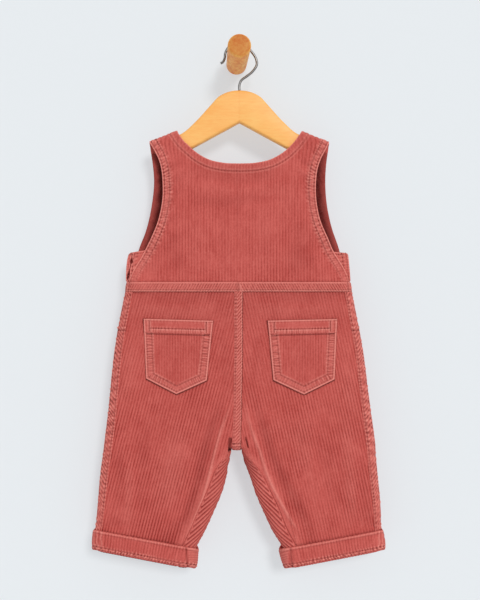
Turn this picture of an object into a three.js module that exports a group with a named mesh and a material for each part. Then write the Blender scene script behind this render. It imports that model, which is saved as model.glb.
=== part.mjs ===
// Baby corduroy dungarees hung by the shoulders on a wooden hanger, with the
// hanger's wire hook on a round wooden wall peg. Millimetres, +Z up.
//
// The origin is the centre of the peg's flat back face, on the wall. The wall
// is the plane y = 0 and the room is on the -Y side, so the back of the
// garment faces -Y and its front faces the wall. Heights are written as drops,
// the distance below the origin. Everything that hangs is modelled about the
// hanger's own middle, and its group is moved sideways by hangX.

import * as THREE from 'three';

// ---- driving dimensions ---------------------------------------------------

const gap = 0.3; // between pieces that are sewn or laid together
const cloth = 2.0; // corduroy, nap to back
const hangX = 4.4; // middle of the hanger, sideways from the peg's base
const hangY = - 36; // plane of the hook, the hanger and the side seams

const pegLength = 80;
const pegBaseRadius = 12.6;
const pegTipRadius = 13.6;
const pegRound = 3; // rounded edge of the peg's end
const pegLean = 3.8; // sideways, over the peg's length

const wireRadius = 1.5;
const hangerHalf = 5.8; // half of the wood's thickness
const hangerRound = 4; // rounding of its long edges
const hangerX = - 0.8; // middle of the wood

const strapFold = 9.1; // outer radius of a shoulder folded over the wood
const strapFront = 14; // how far a back strap comes down in front
const strapShare = 0.69; // a strap starts at this share of the half width

const waistTop = 272; // drop of the waistband's upper edge
const waistBottom = 285.4; // and of its lower one
const waistRaise = 1.1; // how far the waistband stands proud
const sideRound = 14; // width over which a side edge rounds away
const bandWidth = 9; // topstitched edge of neck and armholes
const bandRaise = 0.5; // extra thickness of that edge
const feltRaise = 0.9; // thickness of a felled seam on the panels
const feltWidth = 9.6; // of the centre and side seams

const cuffTopDrop = 570.5; // along the outside of a leg
const cuffHeight = 21.5;

// ---- tables: one row for each section --------------------------------------

// Side edges of the bodice's back and front, and half of its depth.
const backBodiceRows = [
	// drop, left edge, right edge, half depth
	[ 96, - 109.4, 107.8, 9.1 ],
	[ 104, - 108.8, 107.2, 9.1 ],
	[ 110, - 105.4, 104.6, 9.2 ],
	[ 124, - 97.9, 97.2, 9.5 ],
	[ 136, - 94.4, 93, 10 ],
	[ 151, - 92.7, 90.9, 10.5 ],
	[ 173, - 92.8, 91.1, 11.2 ],
	[ 198, - 97.6, 95.8, 12 ],
	[ 220, - 106.3, 105, 12.6 ],
	[ 234, - 113.6, 112.8, 13 ],
	[ 252, - 121.2, 121.8, 13.3 ],
	[ 272, - 129.6, 131, 13.5 ],
];

const frontBodiceRows = [
	[ 96, - 109.6, 108, 9.1 ],
	[ 104, - 109.6, 108, 9.1 ],
	[ 127, - 106, 104.7, 9.4 ],
	[ 151, - 104.1, 103.4, 10 ],
	[ 177, - 106.7, 105.2, 11 ],
	[ 201, - 111.6, 110, 12 ],
	[ 218, - 116.8, 115.2, 12.6 ],
	[ 234, - 122, 119.6, 13 ],
	[ 252, - 126.4, 124, 13.3 ],
	[ 272, - 129.6, 128, 13.5 ],
];

// Upper edge of the bodice, from the middle of the neck to a strap: the share
// of the half width, and the drop there behind and in front.
const neckRows = [
	// share, drop behind, drop in front
	[ 0, 130.4, 158 ],
	[ 0.21, 129.3, 156 ],
	[ 0.41, 124, 148 ],
	[ 0.53, 115, 134 ],
	[ 0.61, 103.5, 118 ],
	[ strapShare, 90.6, 100 ],
];
const shoulderTipDrop = 103.8;

// Each leg's sections, from the waist down: the drop and the side of its outer
// edge, then of its inner edge, half of its depth, how far the inner edge has
// closed into a fold, and the share of the width that the front panel wraps
// round to the back.
const legRows = {
	left: [
		// outer drop, outer x, inner x, inner drop, half, closed, wrap
		[ 285.7, - 137.4, - 1.75, 285.7, 13.5, 0, 0 ],
		[ 304, - 141, - 1.8, 304, 13.9, 0, 0 ],
		[ 322, - 144.6, - 1.85, 322, 14.2, 0, 0 ],
		[ 340, - 147.6, - 1.95, 340, 14.5, 0, 0 ],
		[ 358, - 150.2, - 2.05, 358, 14.6, 0, 0 ],
		[ 376, - 152.4, - 2.2, 376, 14.6, 0, 0 ],
		[ 394, - 154.2, - 2.5, 394.5, 14.6, 0, 0 ],
		[ 410, - 155.7, - 2.8, 411, 14.5, 0, 0 ],
		[ 425, - 157.2, - 3.1, 427, 14.4, 0, 0 ],
		[ 442, - 159.2, - 3.6, 446.5, 14.2, 0, 0 ],
		[ 456, - 161, - 4, 461, 14, 0, 0 ],
		[ 463, - 161.8, - 4.4, 468, 14, 0.16, 0 ],
		[ 467, - 162.3, - 4.9, 472, 14, 0.46, 0 ],
		[ 469.5, - 162.6, - 6, 474.6, 14, 0.9, 0 ],
		[ 472.5, - 163, - 10.6, 477.8, 14, 1, 0.014 ],
		[ 477, - 163.6, - 12.2, 483, 13.9, 1, 0.035 ],
		[ 484, - 164.4, - 15, 491, 13.8, 1, 0.068 ],
		[ 496, - 166.2, - 18.2, 505, 13.6, 1, 0.1 ],
		[ 512, - 167.8, - 23.6, 524, 13.4, 1, 0.12 ],
		[ 530, - 169.3, - 32.4, 545, 13.1, 1, 0.132 ],
		[ 550, - 171, - 42.8, 569, 12.8, 1, 0.13 ],
		[ 570.5, - 173, - 54.2, 592.5, 12.5, 1, 0.127 ],
		[ 592, - 174.6, - 60.4, 614, 12.4, 1, 0.125 ],
	],
	right: [
		[ 285.7, 134, - 1.45, 285.7, 13.5, 0, 0 ],
		[ 304, 137.4, - 1.5, 304, 13.9, 0, 0 ],
		[ 322, 141, - 1.55, 322, 14.2, 0, 0 ],
		[ 340, 144.4, - 1.65, 340, 14.5, 0, 0 ],
		[ 358, 147.4, - 1.75, 358, 14.6, 0, 0 ],
		[ 376, 149.8, - 1.9, 376, 14.6, 0, 0 ],
		[ 394, 151.9, - 2.2, 394.5, 14.6, 0, 0 ],
		[ 410, 154, - 2.5, 411, 14.5, 0, 0 ],
		[ 425, 156, - 2.8, 427, 14.4, 0, 0 ],
		[ 442, 158.4, - 3.3, 446.5, 14.2, 0, 0 ],
		[ 456, 160.4, - 3.6, 461, 14, 0, 0 ],
		[ 463, 161.2, - 3.6, 468, 14, 0.16, 0 ],
		[ 467, 161.6, - 3.2, 472, 14, 0.46, 0 ],
		[ 469.5, 161.8, - 2.2, 474.6, 14, 0.9, 0 ],
		[ 472.5, 162, 2, 477.8, 14, 1, 0.014 ],
		[ 477, 162.2, 3.9, 483, 13.9, 1, 0.035 ],
		[ 484, 162.7, 7.4, 491, 13.8, 1, 0.068 ],
		[ 496, 163.7, 12.6, 505, 13.6, 1, 0.1 ],
		[ 512, 165.3, 19, 524, 13.4, 1, 0.12 ],
		[ 530, 167.2, 27.9, 545, 13.1, 1, 0.132 ],
		[ 550, 168.3, 38.9, 569, 12.8, 1, 0.13 ],
		[ 570.5, 168.8, 53.1, 592.5, 12.5, 1, 0.127 ],
		[ 592, 171.3, 58, 614, 12.4, 1, 0.125 ],
	],
};

// Corners of the patch pockets: the upper edge, the lower corners and the tip.
const pockets = {
	left: { top: [ [ - 114.3, 316.8 ], [ - 31.8, 318 ] ], low: [ [ - 111.4, 387.2 ], [ - 39.3, 389.4 ] ],
		tip: [ - 75.5, 405.4 ] },
	right: { top: [ [ 32.8, 317.8 ], [ 115.2, 315.8 ] ], low: [ [ 39.6, 389 ], [ 112.2, 388.2 ] ],
		tip: [ 76.7, 405.8 ] },
};
const pocketThickness = 1.6;
const pocketHem = 16; // depth of the turned hem
const pocketHemRaise = 0.8;

// The wire hook, from its open end to the wood: sideways and up.
const hookPoints = [
	[ - 23.4, - 8.6 ], [ - 20.7, - 7.2 ], [ - 18.6, - 2.8 ], [ - 17.5, 4.2 ],
	[ - 12.6, 12 ], [ - 2.7, 15 ], [ 7.6, 11.8 ], [ 14.6, 4.6 ],
	[ 19.3, - 3 ], [ 20.2, - 10.2 ], [ 15.3, - 18.3 ], [ 8.2, - 24.2 ],
	[ 1.6, - 29.2 ], [ - 0.7, - 34.8 ], [ hangerX, - 41.4 ],
];

// Upper edge of the hanger's left arm, from the middle out to its end.
const hangerTop = [
	[ 0, - 41.9 ], [ - 13, - 43.6 ], [ - 24.5, - 49.1 ], [ - 34, - 59.1 ],
	[ - 52.2, - 79 ], [ - 69, - 93.6 ], [ - 84, - 98.6 ], [ - 96, - 103.2 ],
];
const hangerEnd = [ - 98.4, - 109 ];
const hangerUnder = [ [ - 93, - 121.5 ], [ - 57, - 111.7 ], [ 0, - 81 ] ];

// ---- materials -------------------------------------------------------------

const finish = ( color, roughness, metalness = 0 ) => () =>
	new THREE.MeshStandardMaterial( { color, roughness, metalness } );

const cord = finish( 0xb9564e, 0.92 );
const maple = finish( 0xeab071, 0.55 );
const beech = finish( 0xc47a3c, 0.5 );
const steel = finish( 0x6d6a68, 0.35, 1 );

const part = new THREE.Group();
const hung = new THREE.Group();
hung.position.x = hangX;
part.add( hung );

function addPiece( parent, name, geometry, material ) {

	const mesh = new THREE.Mesh( geometry, material() );
	mesh.name = name;
	parent.add( mesh );
	return mesh;

}

// ---- helpers ---------------------------------------------------------------

const { clamp, lerp, smoothstep } = THREE.MathUtils;

// A table with its first column as the position, read smoothly in between.
function smoothTable( rows ) {

	const columns = rows[ 0 ].length - 1;
	const positions = rows.map( ( row ) => row[ 0 ] );
	const values = rows.flatMap( ( row ) => row.slice( 1 ) );
	const table = new THREE.CubicInterpolant( positions, values, columns, new Array( columns ) );
	const [ first, last ] = [ positions[ 0 ], positions.at( - 1 ) ];
	return ( at ) => Array.from( table.evaluate( clamp( at, first, last ) ) );

}

// 0 at an edge, rising as a quarter ellipse to 1 at the distance given.
function rounded( fromEdge, distance ) {

	const left = 1 - clamp( fromEdge / distance, 0, 1 );
	return Math.sqrt( 1 - left * left );

}

const evenly = ( count ) => Array.from( { length: count + 1 }, ( _, i ) => i / count );
const closeAtEnds = ( count ) => evenly( count ).map( ( t ) => ( 1 - Math.cos( Math.PI * t ) ) / 2 );
const between = ( start, end, count ) => evenly( count ).map( ( t ) => lerp( start, end, t ) );

// Outward normals of a grid of surface points, from its neighbours. The grid's
// rows go down and its columns go so that down x across points outwards. Its
// first and last rows are taken as upright, so that a cut edge stays level.
function gridNormals( points ) {

	const last = points.length - 1;
	const end = points[ 0 ].length - 1;
	const across = new THREE.Vector3();
	const down = new THREE.Vector3();
	return points.map( ( row, i ) => row.map( ( _, j ) => {

		down.subVectors( points[ Math.min( i + 1, last ) ][ j ], points[ Math.max( i - 1, 0 ) ][ j ] );
		if ( i === 0 || i === last ) down.set( 0, 0, Math.sign( down.z ) );
		across.subVectors( row[ Math.min( j + 1, end ) ], row[ Math.max( j - 1, 0 ) ] );
		return new THREE.Vector3().crossVectors( down, across ).normalize();

	} ) );

}

// A wall of cloth: the grid's points are its outer face, and its inner face
// lies a thickness inside. keep says which cells of the grid are cloth, and
// limit holds an inner point on its own side of a seam.
function clothWall( points, thickness = cloth, options = {} ) {

	const { keep = () => true, limit = () => {}, normals = gridNormals( points ) } = options;
	const rows = points.length - 1;
	const columns = points[ 0 ].length - 1;
	const depthAt = ( i, j ) => ( typeof thickness === 'function' ? thickness( i, j ) : thickness );
	const positions = [];
	const indices = [];
	const seen = new Map();

	const corner = ( i, j, inner ) => {

		const key = `${ i },${ j },${ inner }`;
		if ( ! seen.has( key ) ) {

			const point = points[ i ][ j ].clone();
			if ( inner ) limit( point.addScaledVector( normals[ i ][ j ], - depthAt( i, j ) ), i, j );
			seen.set( key, positions.length / 3 );
			positions.push( point.x, point.y, point.z );

		}

		return seen.get( key );

	};

	const quad = ( a, b, c, d ) => indices.push( a, b, c, a, c, d );
	const isCloth = ( i, j ) => i >= 0 && j >= 0 && i < rows && j < columns && keep( i, j );

	const edge = ( a, b ) => quad(
		corner( ...a, false ), corner( ...a, true ), corner( ...b, true ), corner( ...b, false ) );

	for ( let i = 0; i < rows; i ++ ) {

		for ( let j = 0; j < columns; j ++ ) {

			if ( ! isCloth( i, j ) ) continue;
			const ring = [ [ i, j ], [ i + 1, j ], [ i + 1, j + 1 ], [ i, j + 1 ] ];
			quad( ...ring.map( ( at ) => corner( ...at, false ) ) );
			quad( ...ring.map( ( at ) => corner( ...at, true ) ).reverse() );
			const beside = [ [ i, j - 1 ], [ i + 1, j ], [ i, j + 1 ], [ i - 1, j ] ];
			beside.forEach( ( cell, k ) => {

				if ( ! isCloth( ...cell ) ) edge( ring[ k ], ring[ ( k + 1 ) % 4 ] );

			} );

		}

	}

	return indexed( positions, indices );

}

function indexed( positions, indices ) {

	const geometry = new THREE.BufferGeometry();
	geometry.setAttribute( 'position', new THREE.Float32BufferAttribute( positions, 3 ) );
	geometry.setIndex( indices );
	geometry.computeVertexNormals();
	return geometry;

}

// The same grid, moved out along its normals by a distance, or by one for each
// of its points.
function movedOut( points, distance, normals = gridNormals( points ) ) {

	const distanceAt = ( i, j ) => ( typeof distance === 'function' ? distance( i, j ) : distance );
	return points.map( ( row, i ) => row.map( ( point, j ) =>
		point.clone().addScaledVector( normals[ i ][ j ], distanceAt( i, j ) ) ) );

}

const mirroredColumns = ( points ) => points.map( ( row ) => [ ...row ].reverse() );

// ---- the bodice --------------------------------------------------------------

const backEdges = smoothTable( backBodiceRows );
const frontEdges = smoothTable( frontBodiceRows );
const neckline = smoothTable( neckRows );

const lapStart = [ 214, 238 ]; // drops between which the side edges close up
const lapEnd = [ 256, waistTop ]; // and open again into the waistband
const lapWidth = 34;
const lapDepth = { back: 4.4, front: 2 }; // of the overlapping side edges

// Depth of the bodice's outer face from the hang plane.
function bodiceDepth( side, across, drop ) {

	const [ left, right, half ] = side === 'back' ? backEdges( drop ) : frontEdges( drop );
	const fromEdge = Math.min( across - left, right - across );
	const [ waistLeft, waistRight ] = [ legRows.left[ 0 ][ 1 ] + 2, legRows.right[ 0 ][ 1 ] - 2 ];
	const fromWaistEdge = Math.min( across - waistLeft, waistRight - across );
	const atArmhole = half * ( 0.84 + 0.16 * smoothstep( fromEdge, 0, lapWidth ) );
	const atWaist = half * rounded( fromWaistEdge, sideRound );
	const atLap = lerp( lapDepth[ side ], half, smoothstep( fromEdge, 0, lapWidth ) );
	const lap = smoothstep( drop, ...lapStart ) * ( 1 - smoothstep( drop, ...lapEnd ) );
	return lerp( lerp( atArmhole, atWaist, smoothstep( drop, lapStart[ 0 ], waistTop ) ), atLap, lap );

}

const topDrop = ( share, column ) => share <= strapShare
	? neckline( share )[ column ]
	: lerp( neckline( strapShare )[ 0 ], shoulderTipDrop, ( share - strapShare ) / ( 1 - strapShare ) );

const bodiceColumns = [ - 1, - 0.92, - 0.84, - 0.76, - strapShare, - 0.61, - 0.53, - 0.41, - 0.28, - 0.14,
	0, 0.14, 0.28, 0.41, 0.53, 0.61, strapShare, 0.76, 0.84, 0.92, 1 ];
const foldSteps = 6;
const bodiceRowCount = 13;

const isStrap = ( column ) => Math.min(
	Math.abs( bodiceColumns[ column ] ), Math.abs( bodiceColumns[ column + 1 ] ) ) >= strapShare - 1e-6;

// A point of the bodice at a share of the half width and a drop.
function bodicePoint( side, share, drop ) {

	const [ left, right ] = side === 'back' ? backEdges( drop ) : frontEdges( drop );
	const across = lerp( left, right, ( share + 1 ) / 2 );
	const depth = bodiceDepth( side, across, drop );
	return new THREE.Vector3( across, hangY + ( side === 'back' ? - depth : depth ), - drop );

}

// The back goes up from the waist, and its straps fold over the wood and come
// down in front. Rows are listed from the strap's front end down to the waist.
function backBodicePoints() {

	const bottom = waistTop - gap;
	const over = ( share, drop, angle ) => {

		const height = - drop + strapFold * ( Math.sin( angle ) - 1 );
		const point = bodicePoint( angle < Math.PI / 2 ? 'front' : 'back', share, - height );
		return point.setY( hangY + strapFold * Math.cos( angle ) );

	};

	const straps = [];
	for ( let k = 0; k <= foldSteps + 1; k ++ ) {

		straps.push( bodiceColumns.map( ( share ) => {

			const drop = topDrop( Math.abs( share ), 0 );
			if ( k === 0 ) {

				const end = bodicePoint( 'front', share, drop + strapFront );
				return end.setY( hangY + strapFold );

			}

			return over( share, drop, Math.PI * ( k - 1 ) / foldSteps );

		} ) );

	}

	const body = evenly( bodiceRowCount ).map( ( t ) => bodiceColumns.map( ( share ) => {

		const top = topDrop( Math.abs( share ), 0 );
		const start = Math.abs( share ) >= strapShare - 1e-6 ? top + strapFold : top;
		return bodicePoint( 'back', share, lerp( start, bottom, t ) );

	} ) );

	// A strap's last fold row and the body's first row are the same place.
	return [ ...straps.slice( 0, - 1 ), ...body ];

}

function addBodice() {

	const points = backBodicePoints();
	const foldRows = foldSteps + 1;
	const raise = bandRaiseOn( points, foldRows );
	const back = clothWall( movedOut( points, raise ), ( i, j ) => cloth + raise( i, j ),
		{ keep: ( i, j ) => i >= foldRows || isStrap( j ) } );
	addPiece( hung, 'back_bodice', back, cord );

	const frontTop = ( share ) => ( share >= strapShare - 1e-6
		? topDrop( share, 0 ) + strapFront + gap
		: Math.max( neckline( share )[ 1 ], topDrop( strapShare, 0 ) + strapFront + gap ) );
	const front = evenly( bodiceRowCount ).map( ( t ) => bodiceColumns.map( ( share ) =>
		bodicePoint( 'front', share, lerp( frontTop( Math.abs( share ) ), waistTop - gap, t ) ) ) );
	addPiece( hung, 'front_bodice', clothWall( mirroredColumns( front ) ), cord );

}

// How far the back stands out where its edges are turned and stitched.
function bandRaiseOn( points, foldRows ) {

	return ( i, j ) => {

		const point = points[ i ][ j ];
		const share = Math.abs( bodiceColumns[ j ] );
		const [ left, right ] = backEdges( - point.z );
		const fromSide = Math.min( point.x - left, right - point.x );
		const fromNeck = i < foldRows || share > strapShare ? Infinity : - point.z - topDrop( share, 0 );
		return i >= foldRows && Math.min( fromSide, fromNeck ) < bandWidth ? bandRaise : 0;

	};

}

// A narrow sewn band on each side edge of the front, which the back laps over.
function addSidePlackets() {

	const width = 19;
	const drops = between( 238, 270, 5 );
	const lean = 2.4; // outwards, over its length
	for ( const [ name, outward, edge ] of [ [ 'left', - 1, - 136 ], [ 'right', 1, 131.6 ] ] ) {

		const points = drops.map( ( drop, i ) => between( edge, edge - outward * width, 4 ).map( ( across ) => {

			const place = across + outward * lean * i / ( drops.length - 1 );
			return new THREE.Vector3( place, hangY - gap - 1.8, - drop );

		} ) );
		const facing = outward < 0 ? points : mirroredColumns( points );
		addPiece( hung, `side_placket_${ name }`, clothWall( facing, 1.8 ), cord );

	}

}

// ---- the legs ------------------------------------------------------------------

const legTable = { left: smoothTable( legRows.left ), right: smoothTable( legRows.right ) };

// A point of a leg's outer face. Around a section, turn goes from 0 at the
// side seam to 1 at the inner edge on the back, and on to 2 on the front.
function legPoint( side, turn, outerDrop ) {

	const [ outerX, innerX, innerDrop, half, closedRaw ] = legTable[ side ]( outerDrop );
	const closed = clamp( closedRaw, 0, 1 );
	const share = turn <= 1 ? turn : 2 - turn;
	const width = Math.hypot( innerX - outerX, innerDrop - outerDrop );
	const seam = gap / 2;
	const outerEdge = rounded( share * width, sideRound );
	const innerEdge = lerp( 1, rounded( ( 1 - share ) * width, sideRound - 2 ), closed );
	const depth = Math.max( half * outerEdge * innerEdge, seam * ( 1 - closed ) );
	const y = hangY + ( turn <= 1 ? - 1 : 1 ) * Math.max( depth, share === 0 ? seam : 0 );
	return new THREE.Vector3( lerp( outerX, innerX, share ), y, - lerp( outerDrop, innerDrop, share ) );

}

const legDrops = legRows.left.map( ( row ) => row[ 0 ] );
const panelColumns = 13;
const frontStart = 1 + 1e-9; // turn of the middle, on the front's side

const isClosed = ( row ) => row[ 5 ] === 1;

// The outward normal there, the same for both panels that meet at a seam.
function legNormal( side, turn, outerDrop, closed ) {

	const [ step, dropStep ] = [ 0.008, 2 ];
	const [ first, last ] = closed ? [ 0, 2 ] : ( turn <= 1 ? [ 0, 1 ] : [ frontStart, 2 ] );
	const across = legPoint( side, Math.min( turn + step, last ), outerDrop )
		.sub( legPoint( side, Math.max( turn - step, first ), outerDrop ) );
	const down = legPoint( side, turn, Math.min( outerDrop + dropStep, legDrops.at( - 1 ) ) )
		.sub( legPoint( side, turn, Math.max( outerDrop - dropStep, legDrops[ 0 ] ) ) );
	return new THREE.Vector3().crossVectors( down, across )
		.normalize().multiplyScalar( side === 'left' ? 1 : - 1 );

}

// A grid of a leg's outer face with its normals, a row of turns for each
// section, in the order that makes its wall face outwards.
function legGrid( side, rows, turnsOf ) {

	const list = ( make ) => rows.map( ( row ) => {

		const line = turnsOf( row ).map( ( turn ) => make( side, turn, row[ 0 ], isClosed( row ) ) );
		return side === 'left' ? line : line.reverse();

	} );
	return { points: list( legPoint ), normals: list( legNormal ) };

}

// Where the columns of a panel lie in a section, up to the inseam's gap.
function panelTurns( face, row ) {

	const inseam = isClosed( row ) ? 1 - row[ 6 ] : 1;
	const seam = isClosed( row ) ? 0.002 : 0; // half of its gap
	const columns = closeAtEnds( panelColumns );
	return face === 'back'
		? columns.map( ( t ) => t * ( inseam - seam ) )
		: columns.map( ( t ) => lerp( Math.max( inseam + seam, isClosed( row ) ? 0 : frontStart ), 2, t ) );

}

// Each keeps a point on its own side of the side seams.
const stayBehind = ( point ) => point.setY( Math.min( point.y, hangY - gap / 2 ) );
const stayInFront = ( point ) => point.setY( Math.max( point.y, hangY + gap / 2 ) );

// The same for a leg's panels, but for what a front panel wraps round the
// inner edge.
function keepToFace( face, side ) {

	return ( point, i, j ) => {

		const fromOuter = side === 'left' ? face === 'back' : face === 'front';
		const turned = fromOuter ? j : panelColumns - j;
		const wraps = face === 'front' && turned > panelColumns / 2 && legRows[ side ][ i ][ 5 ] === 1;
		if ( face === 'back' ) stayBehind( point );
		else if ( ! wraps ) stayInFront( point );

	};

}

function addLegs() {

	for ( const side of [ 'left', 'right' ] ) {

		for ( const face of [ 'back', 'front' ] ) {

			const { points, normals } = legGrid( side, legRows[ side ], ( row ) => panelTurns( face, row ) );
			const wall = clothWall( points, cloth, { normals, limit: keepToFace( face, side ) } );
			addPiece( hung, `leg_${ face }_${ side }`, wall, cord );

		}

	}

}

// The outer face of the seat at a place above the crotch, behind or in front.
function seatPoint( face, across, drop ) {

	const middle = legTable.left( drop )[ 1 ] + gap / 2;
	const side = across < middle ? 'left' : 'right';
	const [ outerX, innerX ] = legTable[ side ]( drop );
	const share = clamp( ( across - outerX ) / ( innerX - outerX ), 0, 1 );
	const point = legPoint( side, face === 'back' ? share : Math.max( 2 - share, frontStart ), drop );
	point.x = across;
	point.z = - drop;
	return point;

}

// ---- pieces laid on the panels ---------------------------------------------------

function addWaistband() {

	const [ leftEdge, rightEdge ] = [ legRows.left[ 0 ][ 1 ], legRows.right[ 0 ][ 1 ] ];
	const drops = between( waistTop, waistBottom, 2 );
	for ( const [ face, sign ] of [ [ 'back', - 1 ], [ 'front', 1 ] ] ) {

		const points = drops.map( ( drop ) => {

			const taper = ( waistBottom - drop ) * 0.12;
			const [ left, right ] = [ leftEdge + taper - waistRaise, rightEdge - taper + waistRaise ];
			return closeAtEnds( 22 ).map( ( t ) => {

				const across = lerp( left, right, t );
				const fromEdge = Math.min( across - left, right - across );
				const half = legRows.left[ 0 ][ 4 ] + waistRaise;
				const depth = Math.max( half * rounded( fromEdge, sideRound + waistRaise ), gap / 2 );
				return new THREE.Vector3( across, hangY + sign * depth, - drop );

			} );

		} );
		const facing = sign < 0 ? points : mirroredColumns( points );
		const limit = sign < 0 ? stayBehind : stayInFront;
		addPiece( hung, `waistband_${ face }`, clothWall( facing, cloth + waistRaise, { limit } ), cord );

	}

}

// The felled seam up the middle, behind and in front, down to the crotch.
function addCentreSeams() {

	const rows = legRows.left.filter( ( row ) => row[ 5 ] < 0.2 );
	const half = feltWidth / 2;
	const places = [ [ 'left', half ], [ 'left', half / 2 ], [ 'left', 0 ], [ 'right', half / 2 ], [ 'right', half ] ];
	for ( const face of [ 'back', 'front' ] ) {

		const grid = ( make ) => rows.map( ( [ drop ] ) => {

			const line = places.map( ( [ side, off ] ) => {

				const [ outerX, innerX ] = legTable[ side ]( drop );
				const share = 1 - off / Math.abs( innerX - outerX );
				return make( side, face === 'back' ? share : Math.max( 2 - share, frontStart ), drop, false );

			} );
			return face === 'back' ? line : line.reverse();

		} );
		const normals = grid( legNormal );
		const clearer = ( i ) => ( i === rows.length - 1 ? 3.5 * gap : 0 ); // where it turns under
		const outer = movedOut( grid( legPoint ), ( i ) => gap + feltRaise + clearer( i ), normals );
		addPiece( hung, `seam_centre_${ face }`, clothWall( outer, feltRaise, { normals } ), cord );

	}

}

// The felled side seams, on the back of each leg beside its outer edge.
function addSideSeams() {

	for ( const side of [ 'left', 'right' ] ) {

		const rows = legRows[ side ].filter( ( row ) => row[ 0 ] < cuffTopDrop - 10 );
		const { points, normals } = legGrid( side, rows, () => [ 0.01, 0.028, 0.05, 0.07 ] );
		const outer = movedOut( points, gap + feltRaise, normals );
		addPiece( hung, `seam_side_${ side }`, clothWall( outer, feltRaise, { normals } ), cord );

	}

}

// A patch pocket with a turned hem and a pointed foot, on the seat's face.
function pocketPoints( { top, low, tip } ) {

	const columns = evenly( 10 );
	const rows = [ 0, 0.1, 0.2, 0.24, 0.4, 0.6, 0.8, 1 ];
	return rows.map( ( v ) => columns.map( ( u ) => {

		const upper = [ lerp( top[ 0 ][ 0 ], top[ 1 ][ 0 ], u ), lerp( top[ 0 ][ 1 ], top[ 1 ][ 1 ], u ) ];
		const corner = [ lerp( low[ 0 ][ 0 ], low[ 1 ][ 0 ], u ), lerp( low[ 0 ][ 1 ], low[ 1 ][ 1 ], u ) ];
		const foot = tip[ 1 ] - ( low[ 0 ][ 1 ] + low[ 1 ][ 1 ] ) / 2;
		corner[ 1 ] += foot * ( 1 - Math.abs( 2 * u - 1 ) );
		return seatPoint( 'back', lerp( upper[ 0 ], corner[ 0 ], v ), lerp( upper[ 1 ], corner[ 1 ], v ) );

	} ) );

}

function addPockets() {

	for ( const [ side, outline ] of Object.entries( pockets ) ) {

		const points = pocketPoints( outline );
		const inner = movedOut( points, gap );
		const outer = movedOut( points, gap + pocketThickness );
		const hem = movedOut( points, gap + pocketThickness + pocketHemRaise );
		const hemDrop = outline.top[ 0 ][ 1 ] + pocketHem;
		const isHem = ( point ) => - point.z < hemDrop;
		const face = outer.map( ( row, i ) => row.map( ( point, j ) =>
			( isHem( points[ i ][ j ] ) ? hem[ i ][ j ] : point ) ) );
		const depth = ( i, j ) => face[ i ][ j ].distanceTo( inner[ i ][ j ] ) - 0.05;
		addPiece( hung, `pocket_${ side }`, clothWall( face, depth ), cord );

	}

}

// ---- the cuffs -------------------------------------------------------------------

// A cuff's section, turned up over the end of its leg and under it: how far it
// stands out from the leg's face, and how far down it is.
const cuffSeat = 0.5; // clear of the leg inside it
const cuffProfile = [
	[ cuffSeat, 0 ], [ 2.6, - 0.6 ], [ 3.7, 1.4 ], [ 4, 11 ], [ 3.6, 20.4 ], [ 2, 23.2 ],
	[ - 1.6, 23.6 ], [ - 2.2, 22.1 ], [ cuffSeat, cuffHeight + gap ],
];

function addCuffs() {

	for ( const side of [ 'left', 'right' ] ) {

		const rows = legRows[ side ].slice( - 2 );
		const turnsOf = ( row ) => [ ...panelTurns( 'back', row ), ...panelTurns( 'front', row ).slice( 1, - 1 ) ];
		const { points: [ upper, lower ], normals: [ out, outLow ] } = legGrid( side, rows, turnsOf );
		const positions = upper.flatMap( ( point, k ) => cuffProfile.flatMap( ( [ stand, below ] ) => {

			const down = below / cuffHeight;
			const outwards = out[ k ].clone().lerp( outLow[ k ], down );
			return point.clone().lerp( lower[ k ], down ).addScaledVector( outwards, stand ).toArray();

		} ) );
		const [ steps, count ] = [ upper.length, cuffProfile.length ];
		const indices = [];
		for ( let k = 0; k < steps; k ++ ) {

			for ( let m = 0; m < count; m ++ ) {

				const [ here, next ] = [ k * count, ( ( k + 1 ) % steps ) * count ];
				const [ a, b, c, d ] = [ here + m, here + ( m + 1 ) % count, next + ( m + 1 ) % count, next + m ];
				indices.push( a, b, c, a, c, d );

			}

		}

		addPiece( hung, `cuff_${ side }`, indexed( positions, indices ), cord );

	}

}

// ---- what holds it up ----------------------------------------------------------------

function addHanger() {

	const arm = ( sign ) => ( [ x, z ] ) => new THREE.Vector2( hangerX + sign * x, z );
	const leftTop = hangerTop.map( arm( 1 ) );
	const rightTop = hangerTop.slice( 1 ).map( arm( - 1 ) );
	const crest = new THREE.SplineCurve( [ ...rightTop.reverse(), ...leftTop ] ).getPoints( 36 );
	const outline = [
		...crest,
		arm( 1 )( hangerEnd ), arm( 1 )( hangerUnder[ 0 ] ), arm( 1 )( hangerUnder[ 1 ] ),
		arm( 1 )( hangerUnder[ 2 ] ),
		arm( - 1 )( hangerUnder[ 1 ] ), arm( - 1 )( hangerUnder[ 0 ] ), arm( - 1 )( hangerEnd ),
	];
	const bevel = { bevelEnabled: true, bevelThickness: hangerRound, bevelSize: hangerRound,
		bevelOffset: - hangerRound, bevelSegments: 2 };
	const wood = new THREE.ExtrudeGeometry( new THREE.Shape( outline ),
		{ depth: 2 * ( hangerHalf - hangerRound ), steps: 1, ...bevel } );
	wood.rotateX( Math.PI / 2 );
	wood.translate( 0, hangY + hangerHalf - hangerRound, 0 );
	addPiece( hung, 'hanger', wood, maple );

}

function addHook() {

	const path = new THREE.CatmullRomCurve3( hookPoints.map( ( [ x, z ] ) =>
		new THREE.Vector3( x, hangY, z ) ), false, 'centripetal' );
	const section = new THREE.Shape( Array.from( { length: 8 }, ( _, k ) =>
		new THREE.Vector2( Math.cos( k * Math.PI / 4 ), Math.sin( k * Math.PI / 4 ) )
			.multiplyScalar( wireRadius ) ) );
	addPiece( hung, 'hook', new THREE.ExtrudeGeometry( section, { steps: 44, extrudePath: path } ), steel );

}

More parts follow.
